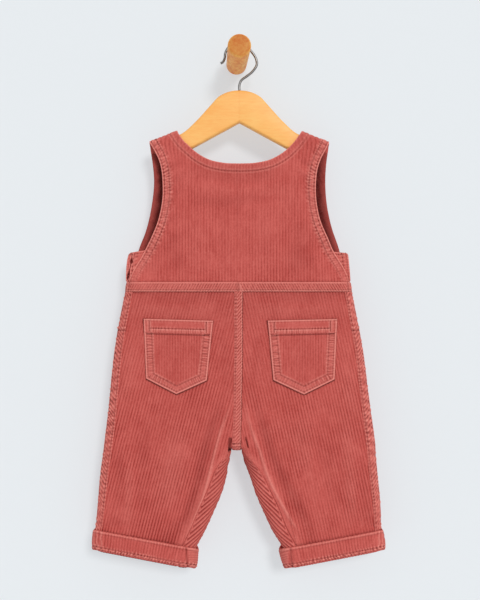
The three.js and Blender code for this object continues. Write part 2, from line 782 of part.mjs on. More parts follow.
function addPeg() {

	const roundSteps = 3;
	const profile = [ new THREE.Vector2( 0, 0 ), new THREE.Vector2( pegBaseRadius, 0 ) ];
	for ( let k = 0; k <= roundSteps; k ++ ) {

		const angle = k * Math.PI / 2 / roundSteps;
		profile.push( new THREE.Vector2( pegTipRadius - pegRound + pegRound * Math.cos( angle ),
			pegLength - pegRound + pegRound * Math.sin( angle ) ) );

	}

	profile.push( new THREE.Vector2( 0, pegLength ) );
	const peg = new THREE.LatheGeometry( profile, 28 );
	peg.rotateX( Math.PI );
	const at = peg.attributes.position;
	for ( let k = 0; k < at.count; k ++ ) at.setX( k, at.getX( k ) - pegLean * at.getY( k ) / pegLength );

	addPiece( part, 'peg', peg, beech );

}

addBodice();
addSidePlackets();
addWaistband();
addLegs();
addCentreSeams();
addSideSeams();
addPockets();
addCuffs();
addHanger();
addHook();
addPeg();

export default part;
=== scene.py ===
import math

import bmesh
import bpy
import numpy as np
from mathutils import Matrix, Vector
from mathutils.bvhtree import BVHTree


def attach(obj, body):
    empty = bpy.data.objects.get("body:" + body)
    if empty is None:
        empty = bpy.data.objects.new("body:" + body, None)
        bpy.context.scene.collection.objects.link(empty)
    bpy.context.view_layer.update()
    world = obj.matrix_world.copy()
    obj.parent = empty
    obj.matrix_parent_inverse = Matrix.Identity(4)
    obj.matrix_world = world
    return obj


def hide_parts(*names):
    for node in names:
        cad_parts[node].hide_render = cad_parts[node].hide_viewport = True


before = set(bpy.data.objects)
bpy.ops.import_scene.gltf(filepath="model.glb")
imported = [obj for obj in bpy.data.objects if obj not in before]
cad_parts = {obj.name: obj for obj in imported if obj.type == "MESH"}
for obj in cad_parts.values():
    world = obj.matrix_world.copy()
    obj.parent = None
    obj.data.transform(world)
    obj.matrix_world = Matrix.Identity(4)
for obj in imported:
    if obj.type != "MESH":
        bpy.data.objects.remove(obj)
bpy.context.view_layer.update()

# Baby corduroy dungarees on a wooden hanger: cloth, stitching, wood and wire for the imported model.
# Lengths are in millimetres until a mesh is made. x is sideways from the middle of the hanger,
# y points to the wall, and a drop is the distance below the peg's axis.
mm = 0.001
hangX, hangY = 4.4, -36.0
scene = bpy.context.scene


class Signal:
    # a node's output socket that Python's operators work on

    def __init__(self, maker, socket):
        self.maker, self.socket = maker, socket

    def math(self, operation, *others):
        return self.maker.add("ShaderNodeMath", {"operation": operation}, [self, *others])[0]

    def reflected(self, operation, other):
        return self.maker.add("ShaderNodeMath", {"operation": operation}, [other, self])[0]

    def __add__(self, other): return self.math("ADD", other)
    def __radd__(self, other): return self.reflected("ADD", other)
    def __sub__(self, other): return self.math("SUBTRACT", other)
    def __rsub__(self, other): return self.reflected("SUBTRACT", other)
    def __mul__(self, other): return self.math("MULTIPLY", other)
    def __rmul__(self, other): return self.reflected("MULTIPLY", other)
    def __truediv__(self, other): return self.math("DIVIDE", other)
    def __rtruediv__(self, other): return self.reflected("DIVIDE", other)
    def __pow__(self, other): return self.math("POWER", other)
    def __rpow__(self, other): return self.reflected("POWER", other)


class Outputs:
    # the sockets of a node that has been added, by number or name

    def __init__(self, maker, node):
        self.maker, self.node = maker, node

    def __getitem__(self, key):
        return Signal(self.maker, self.node.outputs[key])


class NodeMaker:
    # adds nodes to a tree: the type, then its settings, then the values or links of its sockets

    def __init__(self, tree):
        self.tree, self.count = tree, 0

    def add(self, kind, settings=None, values=()):
        node = self.tree.nodes.new(kind)
        node.location = (self.count * 40, -(self.count % 7) * 90)
        self.count += 1
        for key, value in (settings or {}).items():
            setattr(node, key, value)
        for key, value in values.items() if isinstance(values, dict) else enumerate(values):
            if isinstance(value, Signal):
                self.tree.links.new(value.socket, node.inputs[key])
            else:
                node.inputs[key].default_value = value
        return Outputs(self, node)

    def mixColour(self, share, first, second):
        first, second = (value if isinstance(value, Signal) else (*value, 1) for value in (first, second))
        settings = {"data_type": "RGBA", "clamp_factor": True}
        return self.add("ShaderNodeMix", settings, {0: share, 6: first, 7: second})[2]


def colour(red, green, blue):
    # a screen colour, 0 to 255, as the linear one that nodes use
    return tuple(share / 12.92 if share <= 0.04045 else ((share + 0.055) / 1.055) ** 2.4
                 for share in (red / 255, green / 255, blue / 255))


bothSides, bothFaces = ("left", "right"), ("back", "front")
outwards = {"back": -1.0, "front": 1.0}  # the way along y that each face of the garment looks


def clamp(value, low=0.0, high=1.0):
    return np.clip(value, low, high)


def lerp(a, b, t):
    return a + (b - a) * t


def step(value, low, high):
    # 0 below the low value and 1 above the high one
    t = clamp((value - low) / (high - low))
    return t * t * (3 - 2 * t)


def fade(value, low, high):
    return 1 - step(value, low, high)


def window(value, rise, fall):
    # 1 between a rise and a fall, each given by its two ends
    return step(value, *rise) * fade(value, *fall)


def rounded(fromEdge, distance):
    # a quarter circle, from 0 at an edge to 1 at this distance from it
    return np.sqrt(np.maximum(1 - (1 - clamp(fromEdge / distance)) ** 2, 0))


def roll(fromEdge, distance):
    return 1 - rounded(fromEdge, distance)


def bump(value, width):
    return np.exp(-(value / width) ** 2)


def unit(vectors):
    return vectors / np.maximum(np.linalg.norm(vectors, axis=-1, keepdims=True), 1e-9)


def runAlong(line):
    # how far along a line each of its points is
    return np.concatenate([[0], np.cumsum(np.linalg.norm(np.diff(line, axis=0), axis=1))])


def pointsAt(line, places):
    # the points of a line at these distances along it
    run = runAlong(line)
    return np.stack([np.interp(places, run, line[:, k]) for k in range(line.shape[1])], axis=-1)


def smoothTable(rows):
    # first column the position; the others are read on a smooth curve, as the model's source does
    table = np.array(rows, float)
    at, values = table[:, 0], table[:, 1:]
    last = len(at) - 1

    def read(places):
        places = clamp(np.asarray(places, float), at[0], at[-1])
        i1 = clamp(np.searchsorted(at, places, side="right"), 1, last)
        i0 = i1 - 1
        t0, t1 = at[i0], at[i1]
        iPrev = np.where(i0 == 0, i1, i0 - 1)
        iNext = np.where(i1 == last, i0, np.minimum(i1 + 1, last))
        wP = (t1 - t0) * 0.5 / (t0 - at[iPrev])
        wN = (t1 - t0) * 0.5 / (at[iNext] - t1)
        p = (places - t0) / (t1 - t0)
        sP = -wP * p ** 3 + 2 * wP * p ** 2 - wP * p
        s0 = (1 + wP) * p ** 3 + (-1.5 - 2 * wP) * p ** 2 + (-0.5 + wP) * p + 1
        s1 = (-1 - wN) * p ** 3 + (1.5 + wN) * p ** 2 + 0.5 * p
        sN = wN * p ** 3 - wN * p ** 2
        made = (sP[..., None] * values[iPrev] + s0[..., None] * values[i0]
                + s1[..., None] * values[i1] + sN[..., None] * values[iNext])
        return [made[..., k] for k in range(values.shape[1])]

    return read


def distanceTo(line, x, drop):
    # distance from each place to a line of points, and how far along the line that is
    best, along, done = np.full(np.shape(x), 1e9), np.zeros(np.shape(x)), 0.0
    line = np.asarray(line, float)
    for (x0, z0), (x1, z1) in zip(line[:-1], line[1:]):
        long = math.hypot(x1 - x0, z1 - z0)
        t = clamp(((x - x0) * (x1 - x0) + (drop - z0) * (z1 - z0)) / max(long * long, 1e-9))
        away = np.hypot(x - lerp(x0, x1, t), drop - lerp(z0, z1, t))
        nearer = away < best
        best = np.where(nearer, away, best)
        along = np.where(nearer, done + t * long, along)
        done += long
    return best, along


def smoothLine(points, count):
    # a line through the points, bent smoothly, with evenly spaced points
    points = np.asarray(points, float)
    at = runAlong(points)
    fine = smoothTable(np.column_stack([at, points]))(np.linspace(0, at[-1], count * 4))
    fine = np.stack(fine, axis=-1)
    return pointsAt(fine, np.linspace(0, runAlong(fine)[-1], count))


def folds(table, x, drop):
    # soft creases as listed: height, half width, and the points of its line
    total = np.zeros(np.shape(x))
    for height, width, points in table:
        line = smoothLine(points, 14)
        away, along = distanceTo(line, x, drop)
        long = runAlong(line)[-1]
        middle = window(along, (0, 0.25 * long), (0.75 * long, long))
        total += height * (0.25 + 0.75 * middle) * bump(away, width)
    return total


def unevenWave(along, pitch, seed):
    # puckers along a seam, from -1 to 1, no two quite alike
    slow = 0.32 * np.sin(along / (1.7 * pitch) + seed) + 0.25 * np.sin(along / (3.9 * pitch) + 2.1 * seed)
    size = 0.72 + 0.28 * np.sin(along / (2.6 * pitch) + 3 * seed)
    return np.sin(2 * math.pi * (along / pitch + slow)) * size


def stitchRow(away, along, at, seed, pitch=4.0):
    # a row of stitches that pulls the cloth in: what it adds to relief, to wear with painted highlight on the
    # puffs beside it, and to dark, painted shade where it pulls in
    wave = unevenWave(along, pitch, seed)
    pulled, beside = bump(away - at, 0.75), bump(abs(away - at) - 1.5, 0.9)
    return np.array([
        0.28 * beside * clamp(wave) - 0.5 * pulled * (0.7 - 0.3 * wave),
        0.5 * beside * clamp(wave),
        pulled * (0.16 + 0.55 * clamp(-wave))])


def puckers(away, along, low, high, seed, pitch=4.0, slant=0.0):
    # short ribs of drawn cloth between two rows of stitches, with painted highlight on their tops and painted
    # shade in their hollows
    between = 0.3 * window(away, (low - 0.4, low + 0.8), (high - 0.8, high + 0.4))
    fine = unevenWave(along + slant * away, pitch, seed)
    coarse = unevenWave(along - 0.5 * slant * away, 2.3 * pitch, seed + 2)
    wave = 0.7 * fine + 0.45 * coarse
    return np.array([between * wave, between * clamp(wave), between * clamp(-wave)])


def unevenness(x, drop, seed=0.0):
    # a slow, uneven wave, as in cloth that has been worn and washed
    a = np.sin(x / 23 + 1.3 * np.sin(drop / 31 + seed) + seed)
    b = np.sin(drop / 27 + 1.1 * np.sin(x / 37 + 2 * seed) + 1.7 * seed)
    c = np.sin((x + drop) / 17 + 3 * seed)
    return (a + b + 0.5 * c) / 2.5


weave = {
    "phases": (0, 0.13, 0.31, 0.5, 0.69, 0.87),  # where a grid's columns stand across each wale
    "innerRows": 4, "innerColumns": 6,  # how many times coarser the cloth's inner face is
    "patches": 34,  # how large the patches are in which the wales stand higher or lower
}


def nodeGroup(name, inputs):
    # an empty tree with named inputs, the maker of its nodes, and its input node
    group = bpy.data.node_groups.new(name, "GeometryNodeTree")
    for way in ("INPUT", "OUTPUT"):
        group.interface.new_socket("Geometry", in_out=way, socket_type="NodeSocketGeometry")
    for label, (kind, value) in {**inputs, "Material": ("NodeSocketMaterial", None)}.items():
        socket = group.interface.new_socket(label, in_out="INPUT", socket_type=kind)
        if value is not None:
            socket.default_value = value
    maker = NodeMaker(group)
    return group, maker, maker.add("NodeGroupInput")


def finishGroup(group, maker, geometry, material):
    real = maker.add("GeometryNodeRealizeInstances", None, [geometry])
    dressed = maker.add("GeometryNodeSetMaterial", None, {"Geometry": real[0], "Material": material})
    maker.add("NodeGroupOutput", None, [dressed[0]])
    return group


def runNodes(piece, group, settings):
    # the modifier's result becomes the piece's own mesh
    modifier = piece.modifiers.new(group.name, "NODES")
    modifier.node_group = group
    for item in group.interface.items_tree:
        if item.item_type == "SOCKET" and item.in_out == "INPUT" and item.name in settings:
            modifier[item.identifier] = settings[item.name]
    graph = bpy.context.evaluated_depsgraph_get()
    made = bpy.data.meshes.new_from_object(
        piece.evaluated_get(graph), preserve_all_data_layers=True, depsgraph=graph)
    piece.modifiers.remove(modifier)
    old, piece.data = piece.data, made
    bpy.data.meshes.remove(old)
    return piece


def makeWaleGroup():
    # raises the cord's wales on a wall of cloth: "wale" is the place across them, "out" is outwards
    group, maker, given = nodeGroup("Corduroy wales", {
        "Pitch": ("NodeSocketFloat", 3.6), "Height": ("NodeSocketFloat", 0.7),
        "Roundness": ("NodeSocketFloat", 2.4), "Contrast": ("NodeSocketFloat", 1.0)})
    wale, raised, out = (
        maker.add("GeometryNodeInputNamedAttribute", {"data_type": kind}, {"Name": name})[0]
        for name, kind in (("wale", "FLOAT"), ("raised", "FLOAT"), ("out", "FLOAT_VECTOR")))
    phase = (wale / given["Pitch"]).math("FRACT")
    top = 1 - (phase * 2 - 1).math("ABSOLUTE") ** given["Roundness"]
    uneven = maker.add("ShaderNodeTexNoise", None, {
        "Scale": 1 / (weave["patches"] * mm), "Detail": 3.0, "Roughness": 0.6})[0]
    size = ((uneven - 0.5) * 2.6 + 1).math("MAXIMUM", 0.15)
    height = (top - 0.5) * raised * given["Height"] * size * mm
    # rib is 1 on a wale's top and less in its groove, where the shader paints shade; raised scales both the
    # wales' height and this shade
    ribLight = 1 - (1 - top) * raised * given["Contrast"] * size
    offset = maker.add("ShaderNodeVectorMath", {"operation": "SCALE"},
                       {"Vector": out, "Scale": height})[0]
    stored = maker.add("GeometryNodeStoreNamedAttribute", {"data_type": "FLOAT", "domain": "POINT"},
                       {"Geometry": given["Geometry"], "Name": "rib", "Value": ribLight})
    moved = maker.add("GeometryNodeSetPosition", None, {"Geometry": stored[0], "Offset": offset})
    return finishGroup(group, maker, moved[0], given["Material"])


def makeStitchGroup():
    # lays short threads along lines
    group, maker, given = nodeGroup("Stitches", {
        "Spacing": ("NodeSocketFloat", 3.2), "Length": ("NodeSocketFloat", 2.4),
        "Thickness": ("NodeSocketFloat", 0.42), "Seed": ("NodeSocketInt", 4)})
    curve = maker.add("GeometryNodeMeshToCurve", None, [given["Geometry"]])
    even = maker.add("GeometryNodeResampleCurve", {"mode": "LENGTH"},
                     {"Curve": curve[0], "Length": given["Spacing"] * mm})
    tangent = maker.add("GeometryNodeInputTangent")[0]
    turn = maker.add("FunctionNodeAlignRotationToVector", {"axis": "Z"}, {"Vector": tangent})[0]
    thread = maker.add("GeometryNodeMeshUVSphere", None, {"Segments": 5, "Rings": 4, "Radius": 0.5 * mm})
    uneven = maker.add("FunctionNodeRandomValue", {"data_type": "FLOAT"},
                       {2: 0.88, 3: 1.08, "Seed": given["Seed"]})[1]
    size = maker.add("ShaderNodeCombineXYZ", None,
                     [given["Thickness"], given["Thickness"], given["Length"] * uneven])[0]
    placed = maker.add("GeometryNodeInstanceOnPoints", None,
                       {"Points": even[0], "Instance": thread[0], "Rotation": turn, "Scale": size})
    return finishGroup(group, maker, placed[0], given["Material"])


def makeWireGroup():
    # a round wire along a line
    group, maker, given = nodeGroup("Wire", {
        "Radius": ("NodeSocketFloat", 1.5), "Sides": ("NodeSocketInt", 14)})
    curve = maker.add("GeometryNodeMeshToCurve", None, [given["Geometry"]])
    ring = maker.add("GeometryNodeCurvePrimitiveCircle", {"mode": "RADIUS"},
                     {"Resolution": given["Sides"], "Radius": given["Radius"] * mm})
    tube = maker.add("GeometryNodeCurveToMesh", None, {0: curve[0], 1: ring[0], "Fill Caps": True})
    smooth = maker.add("GeometryNodeSetShadeSmooth", None, [tube[0]])
    return finishGroup(group, maker, smooth[0], given["Material"])


waleGroup, stitchGroup, wireGroup = makeWaleGroup(), makeStitchGroup(), makeWireGroup()


def newMaterial(name, makeShader):
    material = bpy.data.materials.new(name)
    material.use_nodes = True
    material.node_tree.nodes.clear()
    maker = NodeMaker(material.node_tree)
    maker.add("ShaderNodeOutputMaterial", None, [makeShader(maker)[0]])
    return material


def finish(name, paint, constants):
    # constants go straight on the shader, and paint returns what changes over the surface
    return newMaterial(
        name, lambda maker: maker.add("ShaderNodeBsdfPrincipled", None, {**constants, **paint(maker)}))


def attribute(maker, name):
    return maker.add("ShaderNodeAttribute", {"attribute_name": name, "attribute_type": "GEOMETRY"})["Fac"]


def noise(maker, place, size, detail=2.0, roughness=0.5):
    return maker.add("ShaderNodeTexNoise", None, {
        "Vector": place, "Scale": 1 / (size * mm), "Detail": detail, "Roughness": roughness})[0]


def surfaceRelief(maker, height, strength, distance):
    return maker.add("ShaderNodeBump", None, {
        "Strength": strength, "Distance": distance * mm, "Height": height})[0]


# groove is painted shade in the wales' grooves, deep is painted shade in creases, gaps, stitches and under
# edges, and the light worn colour stands for wear, painted highlight and the nap's fuzz
corduroy = {
    "groove": colour(150, 46, 41), "nap": colour(192, 84, 77), "crest": colour(207, 100, 92),
    "worn": colour(238, 146, 134), "deep": colour(84, 18, 16), "sheen": colour(240, 150, 136),
    "waleDepth": 0.78, "streaks": 0.5, "speckle": 0.8,
    "napSize": 0.8, "streakSize": 1.9, "speckleSize": 2.1, "mottleSize": 24,
}


def corduroyPaint(maker):
    place = maker.add("ShaderNodeTexCoord")["Object"]
    rib, wear, dark, wale = (attribute(maker, name) for name in ("rib", "wear", "dark", "wale"))
    parts = maker.add("ShaderNodeSeparateXYZ", None, [place])
    along = maker.add("ShaderNodeCombineXYZ", None, [wale * mm, parts["Z"] * 0.11, parts["Y"] * 0.3])[0]
    streak = noise(maker, along, corduroy["streakSize"], 2.0, 0.6)
    mottle = noise(maker, place, corduroy["mottleSize"], 3.0)
    speckle = noise(maker, place, corduroy["speckleSize"], 2.0, 0.65)
    nap = noise(maker, place, corduroy["napSize"], 2.0, 0.6)
    body = maker.mixColour(
        (mottle - 0.5) * 1.6 + (streak - 0.5) * 1.5 + 0.5, corduroy["nap"], corduroy["crest"])
    height = rib + (streak - 0.5) * corduroy["streaks"] + (speckle - 0.5) * corduroy["speckle"]
    # painted shade in each wale's groove, by the rib attribute
    lit = maker.mixColour((1 - height) * corduroy["waleDepth"], body, corduroy["groove"])
    # wear and painted highlight on edges, ridges and puffs
    worn = maker.mixColour(wear * (0.35 + 1.3 * speckle), lit, corduroy["worn"])
    # painted shade, by the dark attribute
    shaded = maker.mixColour(dark * (0.75 + 0.5 * speckle), worn, corduroy["deep"])
    fuzz = maker.mixColour((nap - 0.5) * 0.55 + (speckle - 0.5) * 0.4, shaded, corduroy["worn"])
    return {"Base Color": fuzz, "Roughness": 0.94 - 0.12 * wear,
            "Normal": surfaceRelief(maker, nap + 0.6 * streak + 0.5 * speckle, 0.6, 0.35)}


clothFinish = finish("Corduroy", corduroyPaint, {
    "Sheen Weight": 0.08, "Sheen Roughness": 0.5, "Sheen Tint": (*corduroy["sheen"], 1),
    "Specular IOR Level": 0.1})

thread = {"dark": colour(170, 66, 58), "light": colour(222, 126, 114), "twist": 0.4}


def threadPaint(maker):
    place = maker.add("ShaderNodeTexCoord")["Object"]
    twist = noise(maker, place, thread["twist"], 1.0)
    return {"Base Color": maker.mixColour(twist, thread["dark"], thread["light"]),
            "Roughness": 0.7 + 0.1 * twist}


threadFinish = finish("Thread", threadPaint, {"Sheen Weight": 0.2, "Specular IOR Level": 0.3})

maple = {
    "light": colour(254, 196, 110), "dark": colour(250, 168, 76), "joint": colour(244, 160, 78),
    "grain": 2.2, "stretch": (0.16, 1, 1),
}
beech = {
    "light": colour(255, 206, 116), "dark": colour(216, 88, 14), "joint": colour(174, 84, 24),
    "grain": 3.4, "stretch": (1, 0.42, 1),
}


def woodPaint(wood):
    def paint(maker):
        place = maker.add("ShaderNodeTexCoord")["Object"]
        along = maker.add("ShaderNodeMapping", None, {"Vector": place, "Scale": wood["stretch"]})[0]
        broad = noise(maker, along, wood["grain"] * 6)
        lines = noise(maker, along, wood["grain"], 4.0, 0.6)
        pores = noise(maker, along, wood["grain"] * 0.25)
        grain = (lines * 0.6 + broad * 0.4 - 0.5) * 2.2 + 0.5
        tone = maker.mixColour(grain, wood["light"], wood["dark"])
        tone = maker.mixColour(attribute(maker, "joint") * 0.8, tone, wood["joint"])
        tone = maker.mixColour((pores - 0.62) * 2.5, tone, tuple(0.6 * c for c in wood["dark"]))
        return {"Base Color": tone, "Roughness": 0.42 + 0.16 * lines, "Coat Weight": 0.03 + 0.06 * broad,
                "Normal": surfaceRelief(maker, lines + 0.4 * pores, 0.15, 0.3)}
    return paint


hangerFinish = finish("Lacquered maple", woodPaint(maple), {"Coat Roughness": 0.25})
pegFinish = finish("Waxed beech", woodPaint(beech), {"Coat Roughness": 0.35, "Specular IOR Level": 0.12})

steel = {"dark": colour(108, 105, 103), "light": colour(158, 155, 153), "marks": 2.2}


def steelPaint(maker):
    place = maker.add("ShaderNodeTexCoord")["Object"]
    marks = noise(maker, place, steel["marks"], 4.0, 0.7)
    return {"Base Color": maker.mixColour(marks, steel["dark"], steel["light"]),
            "Roughness": 0.26 + 0.2 * marks, "Normal": surfaceRelief(maker, marks, 0.08, 0.1)}


steelFinish = finish("Drawn steel wire", steelPaint, {"Metallic": 1.0})
print("finishes ready")


def picks(count, stride, also=()):
    # every so many of a grid's lines, with its ends and any that have to be among them
    made = []
    stops = [0, *sorted(also), count - 1]
    for start, end in zip(stops[:-1], stops[1:]):
        parts = max(1, round((end - start) / stride))
        made += [round(start + (end - start) * k / parts) for k in range(parts)]
    return made + [count - 1]


def newPiece(name, vertices, faces, marks=None, edges=()):
    mesh = bpy.data.meshes.new(name)
    mesh.from_pydata((np.asarray(vertices) * mm).tolist(), edges, faces)
    for key, values in (marks or {}).items():
        values = np.asarray(values, np.float32)
        kind, field = ("FLOAT_VECTOR", "vector") if values.ndim == 2 else ("FLOAT", "value")
        mesh.attributes.new(key, kind, "POINT").data.foreach_set(field, values.ravel())
    mesh.shade_smooth()
    piece = bpy.data.objects.new(name, mesh)
    scene.collection.objects.link(piece)
    return piece


def looksInwards(points, normals, weight=1.0):
    # whether a grid's faces, its rows taken from the first, look away from its normals
    looks = np.cross(np.diff(points, axis=0)[:, :-1], np.diff(points, axis=1)[:-1])
    return (looks * normals[:-1, :-1] * weight).sum() < 0


def wallFaces(outerId, innerId, rowPicks, columnPicks, keep):
    # a fine outer face, a coarse inner one, and strips between them along edges and openings
    faces, kept = [], np.pad(keep, 1)
    for a, b in np.argwhere(keep).tolist():
        block = outerId[rowPicks[a]:rowPicks[a + 1] + 1, columnPicks[b]:columnPicks[b + 1] + 1]
        quads = np.stack([block[:-1, :-1], block[1:, :-1], block[1:, 1:], block[:-1, 1:]], axis=-1)
        corners = [innerId[a, b], innerId[a + 1, b], innerId[a + 1, b + 1], innerId[a, b + 1]]
        faces += quads.reshape(-1, 4).tolist()
        faces.append(corners[::-1])
        beside = (kept[a + 1, b], kept[a + 2, b + 1], kept[a + 1, b + 2], kept[a, b + 1])
        lines = (block[:, 0], block[-1], block[::-1, -1], block[0, ::-1])
        for k in (k for k in range(4) if not beside[k]):
            line, start, end = lines[k], corners[k], corners[(k + 1) % 4]
            half = (len(line) - 1) // 2
            for i in range(len(line) - 1):
                faces.append([line[i], start if i < half else end, line[i + 1]])
                if i + 1 == max(half, 1):
                    faces.append([line[half], start, end])
    return faces


def clothPiece(name, piece, points, normals, work, wales, raised, thicker=0.0, innerShade=0.0,
               rowStops=(), columnStops=(), isCloth=lambda row, column: row + column > 0):
    # a wall of cloth from a grid of places; work is what is added to relief, to wear and painted highlight,
    # and to dark, which is painted shade
    relief, wear, dark = work
    outer = points + normals * relief[..., None] + np.array([hangX, 0, 0])
    shape = rows, columns = outer.shape[:2]
    rowPicks = picks(rows, weave["innerRows"], rowStops)
    columnPicks = picks(columns, weave["innerColumns"], columnStops)
    inside = np.ix_(rowPicks, columnPicks)
    depth = np.broadcast_to(piece["thickness"] + thicker, shape)[..., None]
    inner = (outer - normals * depth)[inside]
    outerId = np.arange(rows * columns).reshape(shape)
    innerId = rows * columns + np.arange(inner[..., 0].size).reshape(inner.shape[:2])
    row, column = (np.convolve(line, (0.5, 0.5), "valid") for line in (rowPicks, columnPicks))
    faces = wallFaces(outerId, innerId, rowPicks, columnPicks, isCloth(row[:, None], column))
    used, index = np.unique(np.concatenate(faces), return_inverse=True)
    rings = np.split(index.ravel(), np.cumsum([len(face) for face in faces])[:-1])
    way = -1 if looksInwards(outer, normals) else 1
    layers = {"wale": wales, "raised": raised, "wear": clamp(wear), "dark": clamp(dark)}
    for key, values in layers.items():
        # the inner face gets only painted shade, given on the inner grid
        within = np.broadcast_to(innerShade if key == "dark" else 0.0, shape)[inside]
        layers[key] = np.concatenate([np.broadcast_to(values, shape).ravel(), within.ravel()])[used]
    layers["out"] = np.concatenate([normals.reshape(-1, 3), np.zeros((innerId.size, 3))])[used]
    vertices = np.concatenate([outer.reshape(-1, 3), inner.reshape(-1, 3)])[used]
    return raiseWales(newPiece(name, vertices, [ring[::way].tolist() for ring in rings], layers), piece)


def raiseWales(made, piece):
    made = runNodes(made, waleGroup, {
        "Pitch": piece["pitch"], "Height": piece["waleHeight"], "Roundness": piece.get("roundness", 2.4),
        "Contrast": piece["contrast"], "Material": clothFinish})
    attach(made, "root")
    print(made.name, len(made.data.polygons), "faces")
    return made


def gridNormals(points, towards):
    # of a grid, turned to the side that towards says, one vector or a grid of them
    normals = unit(np.cross(np.gradient(points, axis=0), np.gradient(points, axis=1)))
    facing = np.sign((normals * towards).sum(axis=-1, keepdims=True))
    return normals * np.where(facing == 0, 1, facing)


def wavesAligned(low, high, pitch, phases=weave["phases"]):
    first, last = math.floor(low / pitch), math.ceil(high / pitch)
    every = np.array([(k + phase) * pitch for k in range(first, last + 1) for phase in phases])
    return every[(every > low) & (every < high)]


bodice = {
    "pitch": 3.62, "waleHeight": 0.5, "contrast": 0.5, "thickness": 1.7, "middle": 87.0, "bottom": 272.8,
    "rows": 168, "edgeColumns": 70, "phases": (0, 0.16, 0.4, 0.6, 0.84), "set": 0.45,
    "fold": 9.1, "foldRows": 18, "strapFront": 14.0,  # the straps' turn over the wood
    "straps": (-75.7, 74.1), "strapShare": 0.69,  # their inner edges, by x and by share of the half width
    "strapTops": (90.6, 103.8),  # the crest's drop at a strap's inner and outer edge
    "band": 9.4, "stitches": (2.2, 8.3),  # the turned edge and its two rows
    "armholes": (96, 272), "waist": (-136.4, 132.6), "waistRound": 14, "waistFrom": (214, 272),
    "thins": 34, "atEdge": 0.84,  # how near an armhole the depth thins, and to what share of it
    "lap": {"back": 4.4, "front": 2.0}, "lapSpan": ((214, 238), (258, 273)),  # half the depth where sides lap
    "quiet": (236, 262), "foldSpan": ((110, 132), (256, 268)),  # drops where stitches and creases fade
}

bodiceRows = {
    # drop, left edge, right edge, half depth
    "back": [
        (96, -109.4, 107.8, 9.1), (104, -108.8, 107.2, 9.1), (110, -105.4, 104.6, 9.2),
        (124, -97.9, 97.2, 9.5), (136, -94.4, 93, 10), (151, -92.7, 90.9, 10.5), (173, -92.8, 91.1, 11.2),
        (198, -97.6, 95.8, 12), (220, -106.3, 105, 12.6), (234, -113.9, 111.6, 13),
        (244, -119.3, 117.8, 13.2), (252, -124.6, 122.8, 13.3), (260, -129, 127.2, 13.4),
        (272, -133.4, 131.4, 13.5),
    ],
    "front": [
        (96, -109.6, 108, 9.1), (104, -109.6, 108, 9.1), (127, -106, 104.7, 9.4),
        (151, -104.1, 103.4, 10), (177, -106.7, 105.2, 11), (201, -111.6, 110, 12),
        (218, -116.8, 115.2, 12.6), (234, -122, 119.6, 13), (252, -126.4, 124, 13.3),
        (272, -129.6, 128, 13.5),
    ],
}
neckRows = [
    # share of the half width, drop behind, drop in front
    (0, 130.4, 158), (0.21, 129.3, 156), (0.41, 124, 148), (0.53, 115, 134), (0.61, 103.5, 118),
    (0.69, 90.6, 100),
]
bodiceEdges = {face: smoothTable(rows) for face, rows in bodiceRows.items()}
neckline = smoothTable(neckRows)

backFolds = [
    # soft creases: height, half width, line of (x, drop)
    (-0.9, 9, [(-60, 140), (0, 146), (58, 141)]), (0.8, 8, [(-56, 158), (0, 164), (60, 160)]),
    (-0.8, 7, [(-58, 174), (-20, 178), (12, 172), (44, 176)]),
    (-1.0, 3.6, [(-92, 146), (-82, 135), (-74, 128)]), (0.9, 3.2, [(-90, 156), (-79, 143), (-69, 136)]),
    (-1.0, 3.6, [(-91, 168), (-80, 154), (-70, 146)]), (-0.9, 4, [(-92, 186), (-80, 172), (-72, 160)]),
    (0.8, 3.4, [(-90, 194), (-80, 184), (-74, 172)]), (-0.8, 3.6, [(-93, 206), (-82, 198), (-74, 190)]),
    (-1.0, 3.6, [(90, 142), (80, 132), (72, 126)]), (0.9, 3.2, [(89, 154), (78, 143), (68, 135)]),
    (-1.0, 3.6, [(90, 166), (79, 153), (70, 144)]), (-0.9, 4, [(91, 182), (80, 168), (73, 156)]),
    (0.7, 13, [(-44, 196), (-52, 232), (-46, 262)]), (-0.8, 11, [(-76, 208), (-80, 236), (-70, 262)]),
    (-0.6, 3, [(-5, 142), (-4, 186), (-6, 230)]), (0.6, 12, [(30, 200), (36, 236), (30, 264)]),
    (-0.7, 12, [(66, 196), (72, 230), (66, 262)]),
]
frontFolds = [
    (-0.9, 9, [(-58, 172), (0, 178), (56, 171)]), (0.8, 8, [(-40, 196), (4, 202), (52, 196)]),
    (-0.8, 4, [(-100, 160), (-88, 150), (-78, 142)]), (0.6, 4, [(-101, 176), (-88, 164), (-78, 156)]),
    (-0.8, 4, [(98, 158), (86, 149), (76, 140)]), (0.7, 4, [(100, 178), (88, 166), (79, 158)]),
    (0.7, 12, [(-52, 206), (-60, 240), (-54, 264)]), (-0.8, 12, [(58, 200), (66, 232), (58, 262)]),
]


def strapTop(share):
    return lerp(*bodice["strapTops"], (share - bodice["strapShare"]) / (1 - bodice["strapShare"]))


def bodiceHalf(face, x, drop):
    # half the garment's depth: thinner at the armholes, round at the waist, flat where the sides lap
    left, right, half = bodiceEdges[face](drop)
    waistLeft, waistRight = bodice["waist"]
    inFrom = step(np.minimum(x - left, right - x), 0, bodice["thins"])
    atArmhole = half * lerp(bodice["atEdge"], 1, inFrom)
    atWaist = half * rounded(np.minimum(x - waistLeft, waistRight - x), bodice["waistRound"])
    atLap = lerp(bodice["lap"][face], half, inFrom)
    made = lerp(atArmhole, atWaist, step(drop, *bodice["waistFrom"]))
    return lerp(made, atLap, window(drop, *bodice["lapSpan"]))


